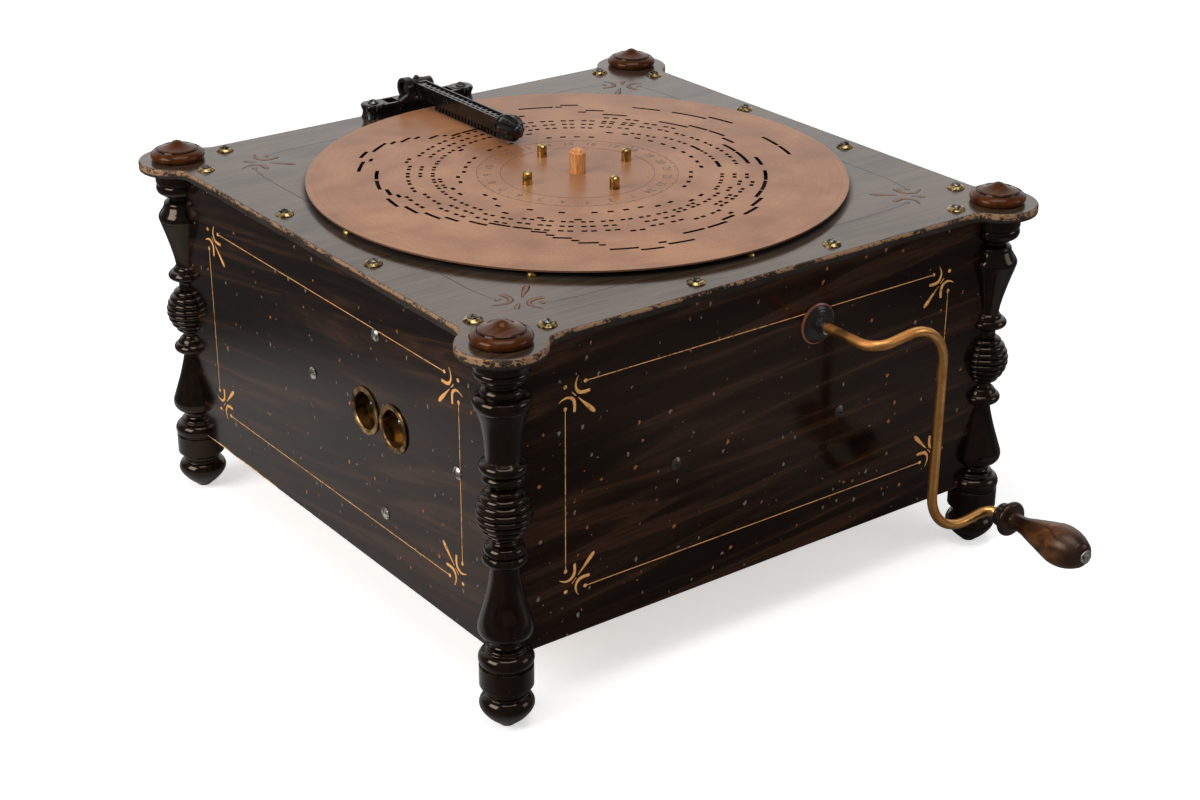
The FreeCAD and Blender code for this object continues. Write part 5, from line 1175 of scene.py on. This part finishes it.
DRESSED: dict[Finish, tuple[str, ...]] = {
    EBONISED: ("front_panel", "back_panel", "left_panel", "right_panel"),
    BOARD: ("top_board",),
    POST: ("post_front_left", "post_front_right", "post_back_left", "post_back_right"),
    CAP: ("post_caps",),
    PINE: ("bottom_board", "wind_board", "wind_chest", "reed_block", "feeder_board_front",
           "feeder_board_rear", "reservoir_board", "panel_battens", "key_rail", "key_levers"),
    PEG: ("centre_peg",),
    GRIP: ("crank_grip",),
    CARD: ("music_disc",),
    IRON: ("pressure_arm", "arm_bracket", "gear_frame", "rear_bearing", "turntable_plate"),
    BLACK_RING: ("grip_ferrule",),
    SHAFT_PLATE: ("crank_escutcheon",),
    WASHER: ("cup_washers",),
    BRASS: ("disc_rest_studs", "drive_pins", "worm", "worm_wheel", "bearing_bushes",
            "key_guide_plate", "reed_plates", "key_springs"),
    CUP_BRASS: ("side_cups",),
    COPPERED: ("crank_rod",),
    PANEL_SCREW: ("panel_screws",),
    STEEL: ("side_cup_screws", "turntable_spindle", "crankshaft", "key_pivot_wire",
            "feeder_fork_front", "feeder_fork_rear", "connecting_rod_front", "connecting_rod_rear",
            "reservoir_springs", "grip_washer", "frame_screws"),
    DARK_STEEL: ("top_screws", "arm_bracket_screws", "arm_hinge_pin"),
    LEATHER: ("feeder_leather_front", "feeder_leather_rear", "reservoir_leather", "key_pallets"),
}


def dress_nodes(nodes: dict[str, bpy.types.Object]) -> None:
    """Gives every CAD node its finish.

    Args:
        nodes: The frame's nodes by name.
    """
    for finish, names in DRESSED.items():
        for name in names:
            node = nodes[name]
            if not node.material_slots:
                node.data.materials.append(None)
            for place in node.material_slots:
                place.material = finish.material()
            LOG.info("%s dressed in %s", name, finish.name)


# ---------------------------------------------------------------- brushwork
@dataclass(frozen=True)
class Stroke:
    """One stroke of a lining brush: its points and the brush's half width at each, in millimetres."""

    points: tuple[Point, ...]
    half_widths: tuple[float, ...]

    def mirrored(self) -> "Stroke":
        """The same stroke over the corner's diagonal."""
        return Stroke(tuple((b, a) for a, b in self.points), self.half_widths)

    def placed(self, corner: Point, signs: tuple[int, int]) -> "Stroke":
        """Reads the stroke from a corner inward.

        Args:
            corner: The corner's place on the face.
            signs: Which way inward is along each axis.

        Returns:
            The stroke in the face's own axes.
        """
        moved = tuple((corner[0] + signs[0] * a, corner[1] + signs[1] * b) for a, b in self.points)
        return Stroke(moved, self.half_widths)

    def wider(self, extra: float) -> "Stroke":
        """The stroke with a wider brush."""
        return Stroke(self.points, tuple(w + extra for w in self.half_widths))


def dot(centre: Point, radius: float, least: float = 0.05) -> Stroke:
    """Makes a round dot: a short stroke whose width swells and falls like a circle.

    Args:
        centre: Its middle.
        radius: Its radius.
        least: The half width at its ends.

    Returns:
        The dot.
    """
    places = (-1.0, -0.92, -0.7, 0.0, 0.7, 0.92, 1.0)
    points = tuple((centre[0] + radius * p, centre[1]) for p in places)
    return Stroke(points, tuple(max(least, radius * math.sqrt(1 - p * p)) for p in places))


def line(start: Point, end: Point, half_width: float) -> Stroke:
    """A straight stroke of even width."""
    return Stroke((start, end), (half_width, half_width))


def brushed(name: str, strokes: Iterable[Stroke], place: Matrix, film_mm: float) -> bpy.types.Mesh:
    """Makes strokes one thin mesh of paint.

    Args:
        name: The mesh's name.
        strokes: The strokes on the face, in millimetres.
        place: From the face's own axes to the frame's.
        film_mm: How far a stroke of 1 mm half width stands proud.

    Returns:
        The mesh in its place.
    """
    curve = bpy.data.curves.new(name, "CURVE")
    curve.dimensions, curve.use_fill_caps = "3D", True
    curve.bevel_depth, curve.bevel_resolution, curve.resolution_u = MM, 1, 5
    for stroke in strokes:
        straight = len(stroke.points) == 2
        spline = curve.splines.new("POLY" if straight else "NURBS")
        spline.points.add(len(stroke.points) - 1)
        for point, (a, b), width in zip(spline.points, stroke.points, stroke.half_widths):
            point.co, point.radius = (a * MM, b * MM, 0.0, 1.0), width
        if not straight:
            spline.order_u, spline.use_endpoint_u = 3, True
    mesh = mesh_from(curve)
    mesh.transform(place @ Matrix.Diagonal((1.0, 1.0, film_mm, 1.0)))
    return mesh


def face_place(turn_deg: float, out_mm: float) -> Matrix:
    """Places an upright face.

    Args:
        turn_deg: How far the face is turned about Z from the crank face.
        out_mm: How far it stands from the middle.

    Returns:
        A matrix from (across, up, outward) to the frame's axes.
    """
    upright = Matrix.Rotation(math.radians(90), 4, "X")
    out = Matrix.Translation((0, -out_mm * MM, 0))
    return Matrix.Rotation(math.radians(turn_deg), 4, "Z") @ out @ upright


@dataclass
class CaseLining:
    """Gilt lining on the case: a thin border with a brush ornament in each corner, on all four faces."""

    case_half_mm: float = 181.0
    border_half_mm: float = 140.7
    border_top_mm: float = 193.0
    border_low_mm: float = 69.5
    line_half_width_mm: float = 0.28
    line_start_mm: float = 13.2
    ball_mm: float = 1.25
    corner_dot_mm: float = 0.4
    film_mm: float = 0.07

    def ornament(self) -> list[Stroke]:
        """Draws the corner ornament, read from the border's corner inward.

        Returns:
            Its strokes.
        """
        leaf = Stroke(((8.6, -4.2), (6.6, -1.0), (6.9, 3.4), (10.2, 6.6), (16.2, 5.9)),
                      (0.15, 0.55, 0.85, 1.15, 0.9))
        drop = Stroke(((8.2, 8.2), (12.0, 12.0), (16.0, 16.0), (18.6, 18.6), (19.4, 19.4)),
                      (0.15, 0.7, 1.35, 1.3, 0.5))
        comma = Stroke(((4.2, 4.2), (5.8, 5.8), (7.2, 7.2)), (0.2, 0.5, 0.15))
        corner = dot((0.0, self.corner_dot_mm), self.ball_mm)
        ball = dot((self.line_start_mm, 0.0), self.ball_mm)
        return [corner, ball, ball.mirrored(), leaf, leaf.mirrored(), drop, comma]

    def strokes(self) -> list[Stroke]:
        """Draws one face: its ornaments and the lines between them.

        Returns:
            The strokes, across and up from the floor.
        """
        half, start, width = self.border_half_mm, self.line_start_mm, self.line_half_width_mm
        low, top = self.border_low_mm, self.border_top_mm
        made = []
        for sx in (-1, 1):
            made.append(line((sx * half, low + start), (sx * half, top - start), width))
            for z, sz in ((low, 1), (top, -1)):
                made += [s.placed((sx * half, z), (-sx, sz)) for s in self.ornament()]
        return made + [line((start - half, z), (half - start, z), width) for z in (low, top)]

    def build(self) -> None:
        """Lines the four faces."""
        for name, turn in (("front", 0), ("right", 90), ("back", 180), ("left", -90)):
            piece = "gilt_lining_" + name
            mesh = brushed(piece, self.strokes(), face_place(turn, self.case_half_mm), self.film_mm)
            settle(piece, mesh, Body.CASE, GILT)


@dataclass
class BoardLining:
    """Dark lining on the top board with amber brush ornaments outlined in black in its corners."""

    board_top_mm: float = 228.0
    border_half_mm: float = 153.8
    line_half_width_mm: float = 0.3
    line_start_mm: float = 20.9
    line_bend_mm: tuple[float, float] = (14.0, 30.0)
    bend_depth_mm: tuple[float, float] = (4.0, 0.6)
    ball_mm: float = 1.5
    outline_mm: float = 0.45
    film_mm: float = 0.05
    fill_lift_mm: float = 0.03
    fill_share: float = 1.6

    def ornament(self) -> list[Stroke]:
        """Draws the corner ornament, read from the border's corner inward.

        Returns:
            Its strokes.
        """
        leaf = Stroke(((16.8, -2.6), (13.4, 2.4), (14.8, 8.6), (20.0, 11.4), (26.2, 9.6)),
                      (0.2, 0.6, 1.0, 1.45, 1.1))
        drop = Stroke(((16.6, 16.6), (20.4, 20.4), (24.6, 24.6), (27.4, 27.4), (28.4, 28.4)),
                      (0.2, 0.8, 1.65, 1.6, 0.6))
        bud = Stroke(((10.6, 10.6), (8.2, 8.2), (6.0, 6.0), (4.8, 4.8)), (0.2, 0.8, 1.4, 0.6))
        ball = dot((self.line_start_mm, self.bend_depth_mm[0]), self.ball_mm)
        return [ball, ball.mirrored(), leaf, leaf.mirrored(), drop, bud]

    def border(self) -> list[Stroke]:
        """Draws the four border lines, each curving in to the ornament's balls at its ends.

        Returns:
            The lines.
        """
        half, inner = self.border_half_mm, self.border_half_mm - self.line_start_mm
        near, far = self.line_bend_mm
        deep, shallow = self.bend_depth_mm
        width = (self.line_half_width_mm,) * 6
        strokes = []
        for s in (-1, 1):
            run = ((-inner, s * (half - deep)), (-inner + near, s * (half - shallow)),
                   (-inner + far, s * half), (inner - far, s * half),
                   (inner - near, s * (half - shallow)), (inner, s * (half - deep)))
            strokes += [Stroke(run, width), Stroke(run, width).mirrored()]
        return strokes

    def build(self) -> None:
        """Paints the outlines and, over them, the amber fill."""
        half = self.border_half_mm
        corners = [((sx * half, sy * half), (-sx, -sy)) for sx in (-1, 1) for sy in (-1, 1)]
        fills = [s.placed(at, signs) for at, signs in corners for s in self.ornament()]
        dark = [s.wider(self.outline_mm) for s in fills] + self.border()
        top = Matrix.Translation((0, 0, self.board_top_mm * MM))
        mesh = brushed("board_lining", dark, top, self.film_mm)
        settle("board_lining", mesh, Body.CASE, DARK_LINE)
        over = top @ Matrix.Translation((0, 0, self.fill_lift_mm * MM))
        mesh = brushed("board_ornament_fill", fills, over, self.film_mm * self.fill_share)
        settle("board_ornament_fill", mesh, Body.CASE, AMBER_FILL)


@dataclass
class DiscPrint:
    """Plain print on the disc: two thin rings with a tick and a number for each of its key tracks."""

    disc_top_mm: float = 232.4
    ring_radii_mm: tuple[float, float] = (47.2, 61.6)
    ring_width_mm: float = 0.35
    ring_steps: int = 96
    tick_mm: tuple[float, float] = (1.4, 0.35)
    tick_inset_mm: float = 1.1
    number_radius_mm: float = 52.6
    number_height_mm: float = 5.6
    type_share: float = 1.35
    numbers: int = 24
    film_mm: float = 0.06

    def rings(self) -> bpy.types.Mesh:
        """Spins the two rings and sets the ticks along the outer one.

        Returns:
            One thin mesh in its place.
        """
        bm = bmesh.new()
        for radius in self.ring_radii_mm:
            wide = self.ring_width_mm / 2
            loop = [bm.verts.new(((radius + dr) * MM, 0, dz * MM)) for dr, dz in
                    ((-wide, 0), (-wide, self.film_mm), (wide, self.film_mm), (wide, 0))]
            edges = [bm.edges.new((a, b)) for a, b in zip(loop, loop[1:])]
            bmesh.ops.spin(bm, geom=loop + edges, cent=(0, 0, 0), axis=(0, 0, 1), angle=2 * math.pi,
                           steps=self.ring_steps, use_merge=True, use_duplicate=False)
        size = Matrix.Diagonal((self.tick_mm[0] * MM, self.tick_mm[1] * MM, self.film_mm * MM, 1.0))
        out = (self.ring_radii_mm[1] - self.tick_inset_mm) * MM
        for i in range(self.numbers * 2):
            turn = Matrix.Rotation(math.pi * (i + 0.5) / self.numbers, 4, "Z")
            place = turn @ Matrix.Translation((out, 0, self.film_mm * MM / 2)) @ size
            bmesh.ops.create_cube(bm, size=1.0, matrix=place)
        return mesh_of("disc_print_rings", bm, Matrix.Translation((0, 0, self.disc_top_mm * MM)))

    def number(self, value: int, angle: float) -> bpy.types.Mesh:
        """Sets one number, standing on its ring.

        Args:
            value: The number.
            angle: Where it stands, in radians from the X axis.

        Returns:
            Its mesh in place.
        """
        text = bpy.data.curves.new("number", "FONT")
        text.body, text.size = str(value), self.number_height_mm * self.type_share * MM
        text.align_x, text.extrude = "CENTER", self.film_mm * MM / 2
        mesh = mesh_from(text)
        stand = Matrix.Translation((0, self.number_radius_mm * MM, self.disc_top_mm * MM))
        mesh.transform(Matrix.Rotation(angle - math.pi / 2, 4, "Z") @ stand)
        return mesh

    def build(self) -> None:
        """Prints the rings and the numbers."""
        settle("disc_print_rings", self.rings(), Body.TURNTABLE, PRINT)
        bm = bmesh.new()
        for i in range(self.numbers):
            number = self.number(i + 1, -math.pi / 2 - 2 * math.pi * i / self.numbers)
            bm.from_mesh(number)
            bpy.data.meshes.remove(number)
        mesh = mesh_of("disc_print_numbers", bm)
        settle("disc_print_numbers", mesh, Body.TURNTABLE, PRINT)
        mesh.shade_flat()


# ---------------------------------------------------------------- turning
SHARP_EDGE_MM = 0.02
SEAM_MM = 0.005

# A turned outline as (radius, height) in millimetres; a point given twice is a sharp edge.
POST_FOOT: tuple[Point, ...] = (
    (0.0, 0.0), (4.2, 0.0), (4.2, 0.0), (5.4, 1.2), (8.8, 4.0), (12.0, 7.2), (14.9, 11.2), (15.7, 14.4),
    (14.0, 17.8), (12.4, 19.0), (12.4, 19.0), (11.8, 19.4), (11.8, 20.4), (11.8, 20.4), (11.2, 20.8),
    (11.2, 20.8), (11.5, 22.0), (11.2, 23.4), (11.2, 23.4), (13.8, 24.2), (15.1, 25.6), (15.1, 25.6),
    (15.1, 38.0), (15.1, 38.0), (14.1, 38.4), (14.1, 38.4), (14.1, 39.2), (14.1, 39.2), (15.2, 40.0),
    (15.7, 43.2), (14.2, 46.2), (11.8, 47.4), (11.8, 47.4), (11.2, 47.8), (11.4, 49.2), (10.2, 50.0),
    (10.2, 50.0), (8.4, 50.6), (7.8, 53.0), (8.6, 55.2), (8.6, 55.2), (12.6, 56.0), (15.4, 59.2),
    (15.5, 63.4))
LEAD_LOWER: tuple[Point, ...] = (
    (14.3, 68.2), (12.4, 74.4), (10.5, 81.4), (8.8, 89.4), (7.9, 99.4), (7.9, 99.4), (9.6, 100.2),
    (12.0, 101.8), (12.7, 104.2), (11.6, 106.2), (11.6, 106.2), (10.2, 106.8), (10.2, 106.8), (10.9, 107.2),
    (11.6, 109.4), (10.2, 111.8), (7.0, 113.4), (6.9, 114.6))
LEAD_UPPER: tuple[Point, ...] = (
    (7.8, 147.4), (7.8, 148.4), (7.8, 148.4), (9.8, 149.2), (12.0, 150.6), (12.1, 152.4), (11.0, 153.6),
    (11.0, 153.6), (10.2, 154.2), (10.2, 154.2), (12.0, 155.0), (13.5, 157.4), (12.8, 160.0), (10.6, 161.4),
    (10.6, 161.4), (9.7, 162.0), (9.7, 162.0), (9.7, 166.0), (10.2, 173.0), (11.2, 180.0), (12.5, 185.4),
    (13.9, 189.4), (14.5, 191.4), (14.5, 191.4), (15.5, 192.4), (16.1, 195.2), (15.2, 198.0), (12.8, 199.2),
    (12.8, 199.2), (11.6, 199.6), (11.6, 199.6), (12.2, 201.6), (10.6, 203.6), (9.4, 204.4), (9.4, 204.4),
    (9.4, 205.6), (9.4, 205.6), (11.4, 206.2), (12.9, 207.6), (12.2, 209.0), (12.2, 209.0), (14.0, 209.4),
    (15.5, 211.2), (14.9, 213.2), (14.0, 213.8), (14.0, 213.8))
MATE_LOWER: tuple[Point, ...] = (
    (14.4, 66.2), (12.6, 72.0), (10.5, 78.2), (8.6, 85.0), (7.0, 91.2), (6.2, 96.0), (6.2, 96.0),
    (8.4, 96.6), (11.6, 98.4), (12.2, 101.4), (10.2, 103.4), (10.2, 103.4), (9.2, 103.8), (9.2, 103.8),
    (8.2, 106.2), (5.8, 108.0), (5.6, 109.6))
MATE_UPPER: tuple[Point, ...] = (
    (5.8, 143.0), (5.8, 146.2), (8.4, 147.2), (8.4, 147.2), (11.4, 148.4), (12.4, 150.8), (10.6, 153.0),
    (10.6, 153.0), (8.6, 153.6), (8.6, 153.6), (8.2, 155.4), (6.8, 156.6), (6.8, 156.6), (7.0, 160.0),
    (8.4, 166.4), (10.4, 174.0), (12.6, 181.4), (14.4, 187.0), (14.6, 188.0), (14.6, 188.0), (15.2, 189.4),
    (14.8, 192.0), (12.4, 195.4), (11.4, 197.2), (11.4, 197.2), (11.0, 198.0), (11.2, 199.6), (9.0, 201.4),
    (7.8, 202.2), (7.8, 202.2), (7.8, 203.4), (7.8, 203.4), (10.4, 204.4), (12.8, 206.0), (12.8, 206.0),
    (14.4, 207.2), (15.2, 209.6), (14.6, 212.0), (14.0, 212.6), (14.0, 212.6), (14.0, 213.2), (14.0, 213.2),
    (15.0, 213.6))
POST_HEAD: tuple[Point, ...] = (
    (15.0, 214.0), (15.0, 214.0), (15.0, 222.0), (15.0, 222.0), (5.0, 222.0), (5.0, 222.0), (5.0, 232.0),
    (5.0, 232.0), (0.0, 232.0))
CAP_OUTLINE: tuple[Point, ...] = (
    (5.3, 0.0), (5.3, 0.0), (15.3, 0.0), (15.3, 0.0), (16.6, 1.4), (16.9, 3.4), (15.4, 5.4), (13.4, 6.4),
    (13.4, 6.4), (12.7, 6.0), (12.7, 6.0), (12.2, 6.9), (12.2, 6.9), (11.4, 7.4), (11.4, 7.4), (9.4, 7.8),
    (6.6, 8.8), (4.0, 10.2), (2.0, 11.6), (0.0, 12.0))

def turned(outline: Iterable[Point], steps: int = 64) -> bmesh.types.BMesh:
    """Turns a smooth outline about the Z axis.

    Args:
        outline: Its (radius, height) points in millimetres, a sharp edge as two equal points.
        steps: How many facets go round.

    Returns:
        The turned shape.
    """
    points = list(outline)
    curve = bpy.data.curves.new("outline", "CURVE")
    curve.dimensions, curve.resolution_u = "3D", 3
    spline = curve.splines.new("NURBS")
    spline.points.add(len(points) - 1)
    for point, (radius, height) in zip(spline.points, points):
        point.co = (radius * MM, 0.0, height * MM, 1.0)
    spline.order_u, spline.use_endpoint_u = 3, True
    drawn = mesh_from(curve)
    bm = bmesh.new()
    bm.from_mesh(drawn)
    bpy.data.meshes.remove(drawn)
    # The doubled points of sharp edges are merged first, and the seam and the poles after the spin.
    bmesh.ops.remove_doubles(bm, verts=bm.verts, dist=SHARP_EDGE_MM * MM)
    bmesh.ops.spin(bm, geom=list(bm.verts) + list(bm.edges), cent=(0, 0, 0), axis=(0, 0, 1),
                   angle=2 * math.pi, steps=steps, use_merge=True, use_duplicate=False)
    bmesh.ops.remove_doubles(bm, verts=bm.verts, dist=SEAM_MM * MM)
    return bm


@dataclass(frozen=True)
class RibbedBall:
    """A ball turned into rings, its outline a parabola about the middle height, in millimetres."""

    low: float
    high: float
    belly: float
    ribs: int = 8
    fall: float = 0.032
    groove: float = 1.3
    swell: float = 0.3
    shoulders: tuple[float, float] = (0.26, 0.74)

    def crest(self, height: float) -> float:
        """The ball's radius over its ribs at a height."""
        return self.belly - self.fall * (height - (self.low + self.high) / 2) ** 2

    def outline(self) -> list[Point]:
        """Draws the ribs from the bottom up.

        Returns:
            The outline's points.
        """
        step = (self.high - self.low) / self.ribs
        points = []
        for i in range(self.ribs):
            start = self.low + i * step
            points += [(self.crest(start) - self.groove, start)] * 2
            heights = [start + share * step for share in self.shoulders]
            points += [(self.crest(height) + self.swell, height) for height in heights]
        return points + [(self.crest(self.high) - self.groove, self.high)] * 2


@dataclass
class TurnedPosts:
    """The four posts: bulb foot, collars, two vases and a ribbed ball, under mahogany caps.

    The front left post came off the lathe a little fuller than its mates.
    """

    axis_mm: float = 179.0
    board_top_mm: float = 228.0
    lead_ball: RibbedBall = RibbedBall(115.2, 146.4, 15.4)
    mate_ball: RibbedBall = RibbedBall(110.8, 141.2, 14.7)

    def build(self) -> None:
        """Turns the posts and the caps in their places."""
        lead = [*POST_FOOT, *LEAD_LOWER, *self.lead_ball.outline(), *LEAD_UPPER, *POST_HEAD]
        mate = [*POST_FOOT, *MATE_LOWER, *self.mate_ball.outline(), *MATE_UPPER, *POST_HEAD]
        lift = Matrix.Translation((0, 0, self.board_top_mm * MM))
        caps = bmesh.new()
        for front, sy in (("front", -1), ("back", 1)):
            for side, sx in (("left", -1), ("right", 1)):
                axis = Matrix.Translation((sx * self.axis_mm * MM, sy * self.axis_mm * MM, 0))
                node = "post_%s_%s" % (front, side)
                outline = lead if (sx, sy) == (-1, -1) else mate
                mesh = mesh_of("turned_" + node, turned(outline), axis)
                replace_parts(settle("turned_" + node, mesh, Body.CASE, POST), node)
                cap = mesh_of("cap", turned(CAP_OUTLINE), axis @ lift)
                caps.from_mesh(cap)
                bpy.data.meshes.remove(cap)
        mesh = mesh_of("turned_post_caps", caps)
        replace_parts(settle("turned_post_caps", mesh, Body.CASE, CAP), "post_caps")


# ---------------------------------------------------------------- bellows
@dataclass(frozen=True)
class Stretched:
    """A folded leather or a spring, rebuilt from its CAD solid with flat facets and left unattached."""

    node: str
    board: Body
    fixed_end_mm: float
    slot: str
    finish: Finish

    def build(self, nodes: dict[str, bpy.types.Object]) -> None:
        """Builds the piece over its CAD solid.

        Args:
            nodes: The frame's nodes by name.
        """
        bm = bmesh.new()
        bm.from_mesh(nodes[self.node].data)
        bmesh.ops.remove_doubles(bm, verts=bm.verts, dist=0.001 * MM)
        name = "stretching_" + self.node
        piece = settle(name, mesh_of(name, bm), None, self.finish)
        piece.data.shade_flat()
        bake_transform(piece)
        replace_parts(piece, self.node)


STRETCHED: tuple[Stretched, ...] = (
    Stretched("feeder_leather_front", Body.FEEDER_FRONT, 85.3, "leather", LEATHER),
    Stretched("feeder_leather_rear", Body.FEEDER_REAR, 85.3, "leather", LEATHER),
    Stretched("reservoir_leather", Body.RESERVOIR, 74.7, "leather", LEATHER),
    Stretched("reservoir_springs", Body.RESERVOIR, 49.5, "steel", STEEL),
)


# ---------------------------------------------------------------- studio
@dataclass(frozen=True)
class SoftBox:
    """A rectangular lamp: where it stands and what it looks at, its width and height, all in metres."""

    name: str
    place: Triple
    aim: Triple
    size: tuple[float, float]
    watts: float

    def build(self) -> None:
        """Hangs the lamp."""
        lamp = bpy.data.lights.new(self.name, "AREA")
        lamp.shape, lamp.energy = "RECTANGLE", self.watts
        lamp.size, lamp.size_y = self.size
        turn = (Vector(self.aim) - Vector(self.place)).to_track_quat("-Z", "Y").to_matrix().to_4x4()
        linked(self.name, lamp).matrix_world = Matrix.Translation(self.place) @ turn


@dataclass
class Studio:
    """A white studio: a backdrop, a pale floor, soft boxes on the left, above and right, and the camera.

    The room in front of the backdrop and beyond the lit floor is dim, as polished surfaces show it. A pool
    of lit floor is its middle's x and y, its radius and how bright it is.
    """

    camera_mm: Triple = (-736.5, -1003.9, 657.2)
    azimuth_deg: float = -36.93
    elevation_deg: float = 24.91
    roll_deg: float = 0.31
    focal_mm: float = 64.3
    sensor_mm: float = 36.0
    floor_half_m: float = 12.0
    paper: Triple = (0.82, 0.82, 0.82)
    paper_gloss: float = 0.9
    camera_glow: float = 0.55
    diffuse_sky: float = 0.30
    backdrop: Triple = (0.50, 0.80, 0.33)
    backdrop_edge: tuple[float, float] = (0.45, 0.85)
    dim_room: float = 0.16
    lit_floor: tuple[tuple[float, ...], ...] = ((-0.10, 0.12, 0.30, 0.8), (0.24, -0.43, 0.15, 0.42))
    pool_fade_m: tuple[float, float] = (-0.04, 0.06)
    boxes: tuple[SoftBox, ...] = (
        SoftBox("left_soft_box", (-1.9, 0.1, 1.25), (-0.1, 0.0, 0.1), (1.3, 1.0), 30.0),
        SoftBox("top_soft_box", (-0.2, -0.5, 2.2), (0.0, 0.0, 0.1), (1.6, 1.2), 21.0),
        SoftBox("right_fill", (1.7, -1.7, 1.0), (0.0, 0.0, 0.1), (1.0, 1.0), 6.0),
    )

    def build(self) -> None:
        """Builds the sky, floor, lamps and camera."""
        bpy.context.scene.view_settings.view_transform = "Standard"
        self.sky()
        self.floor()
        for box in self.boxes:
            box.build()
        self.camera()

    def sky(self) -> None:
        """White to the camera; a polished surface sees the white backdrop and the dimmer room round it."""
        world = bpy.data.worlds.new("studio_sky")
        bpy.context.scene.world = world
        tree = blank_tree(world)
        path = add(tree, "LightPath")
        towards = add(tree, "TexCoord").outputs["Object"]
        links = {0: towards, 1: self.backdrop}
        facing = add(tree, "VectorMath", links, operation="DOT_PRODUCT").outputs["Value"]
        links = {"Value": facing, "From Min": self.backdrop_edge[0], "From Max": self.backdrop_edge[1],
                 "To Min": self.dim_room, "To Max": 1.0}
        mirrored = add(tree, "MapRange", links).outputs[0]
        links = {0: path.outputs["Is Glossy Ray"], 1: path.outputs["Is Transmission Ray"]}
        shiny = add(tree, "Math", links, operation="MAXIMUM").outputs[0]
        strength = add(tree, "Mix", {0: shiny, 2: self.diffuse_sky, 3: mirrored}).outputs[0]
        strength = add(tree, "Mix", {0: path.outputs["Is Camera Ray"], 2: strength, 3: 1.0}).outputs[0]
        sky = add(tree, "Background", {"Color": "#ffffff", "Strength": strength})
        add(tree, "OutputWorld", {"Surface": sky.outputs[0]})

    def floor(self) -> None:
        """A seamless pale floor that keeps the object's shadow, lit in pools as polished surfaces see it."""
        bm = bmesh.new()
        bmesh.ops.create_grid(bm, x_segments=1, y_segments=1, size=self.floor_half_m)
        floor = linked("studio_floor", mesh_of("studio_floor", bm))
        material = bpy.data.materials.new("white_paper_floor")
        tree = blank_tree(material)
        path = add(tree, "LightPath")
        coords = add(tree, "TexCoord").outputs["Object"]
        lit = add(tree, "Value").outputs[0]
        lit.default_value = self.dim_room
        inner, outer = self.pool_fade_m
        for x, y, radius, bright in self.lit_floor:
            links = {0: coords, 1: (x, y, 0.0)}
            reach = add(tree, "VectorMath", links, operation="DISTANCE").outputs["Value"]
            links = {"Value": reach, "From Min": radius + inner, "From Max": radius + outer,
                     "To Min": bright, "To Max": self.dim_room}
            pool = add(tree, "MapRange", links).outputs[0]
            lit = add(tree, "Math", {0: lit, 1: pool}, operation="MAXIMUM").outputs[0]
        level = add(tree, "Mix", {0: path.outputs["Is Glossy Ray"], 2: 1.0, 3: lit}).outputs[0]
        paper = add(tree, "VectorMath", {0: self.paper, "Scale": level}, operation="SCALE").outputs[0]
        links = {0: path.outputs["Is Camera Ray"], 1: self.camera_glow}
        lift = add(tree, "Math", links, operation="MULTIPLY").outputs[0]
        links = {"Base Color": paper, "Roughness": self.paper_gloss, "Specular IOR Level": 0.0,
                 "Emission Color": "#ffffff", "Emission Strength": lift}
        surface = add(tree, "BsdfPrincipled", links)
        add(tree, "OutputMaterial", {"Surface": surface.outputs[0]})
        floor.data.materials.append(material)

    def camera(self) -> None:
        """Places the camera by azimuth, elevation and roll."""
        az, el, roll = (math.radians(v) for v in (self.azimuth_deg, self.elevation_deg, self.roll_deg))
        forward = Vector((math.cos(el) * -math.sin(az), math.cos(el) * math.cos(az), -math.sin(el)))
        right = forward.cross(Vector((0, 0, 1))).normalized()
        up = right.cross(forward)
        across = right * math.cos(roll) + up * math.sin(roll)
        data = bpy.data.cameras.new("studio_camera")
        data.lens, data.sensor_width = self.focal_mm, self.sensor_mm
        camera = linked("studio_camera", data)
        turn = Matrix((across, across.cross(forward), -forward)).transposed().to_4x4()
        camera.matrix_world = Matrix.Translation(Vector(self.camera_mm) * MM) @ turn
        bpy.context.scene.camera = camera


def corners(bounds: tuple[Vector, Vector]) -> list[list[float]]:
    """A box's two corners as plain lists."""
    return [list(corner) for corner in bounds]


def main() -> None:
    """Builds the organ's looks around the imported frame."""
    logging.basicConfig(level=logging.INFO, format="%(message)s")
    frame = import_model()
    dress_nodes(frame["nodes"])
    for part in STRETCHED:
        part.build(frame["nodes"])
    for part in (TurnedPosts(), CaseLining(), BoardLining(), DiscPrint(), Studio()):
        part.build()
        LOG.info("%s built", type(part).__name__)


if __name__ == "__main__":
    main()
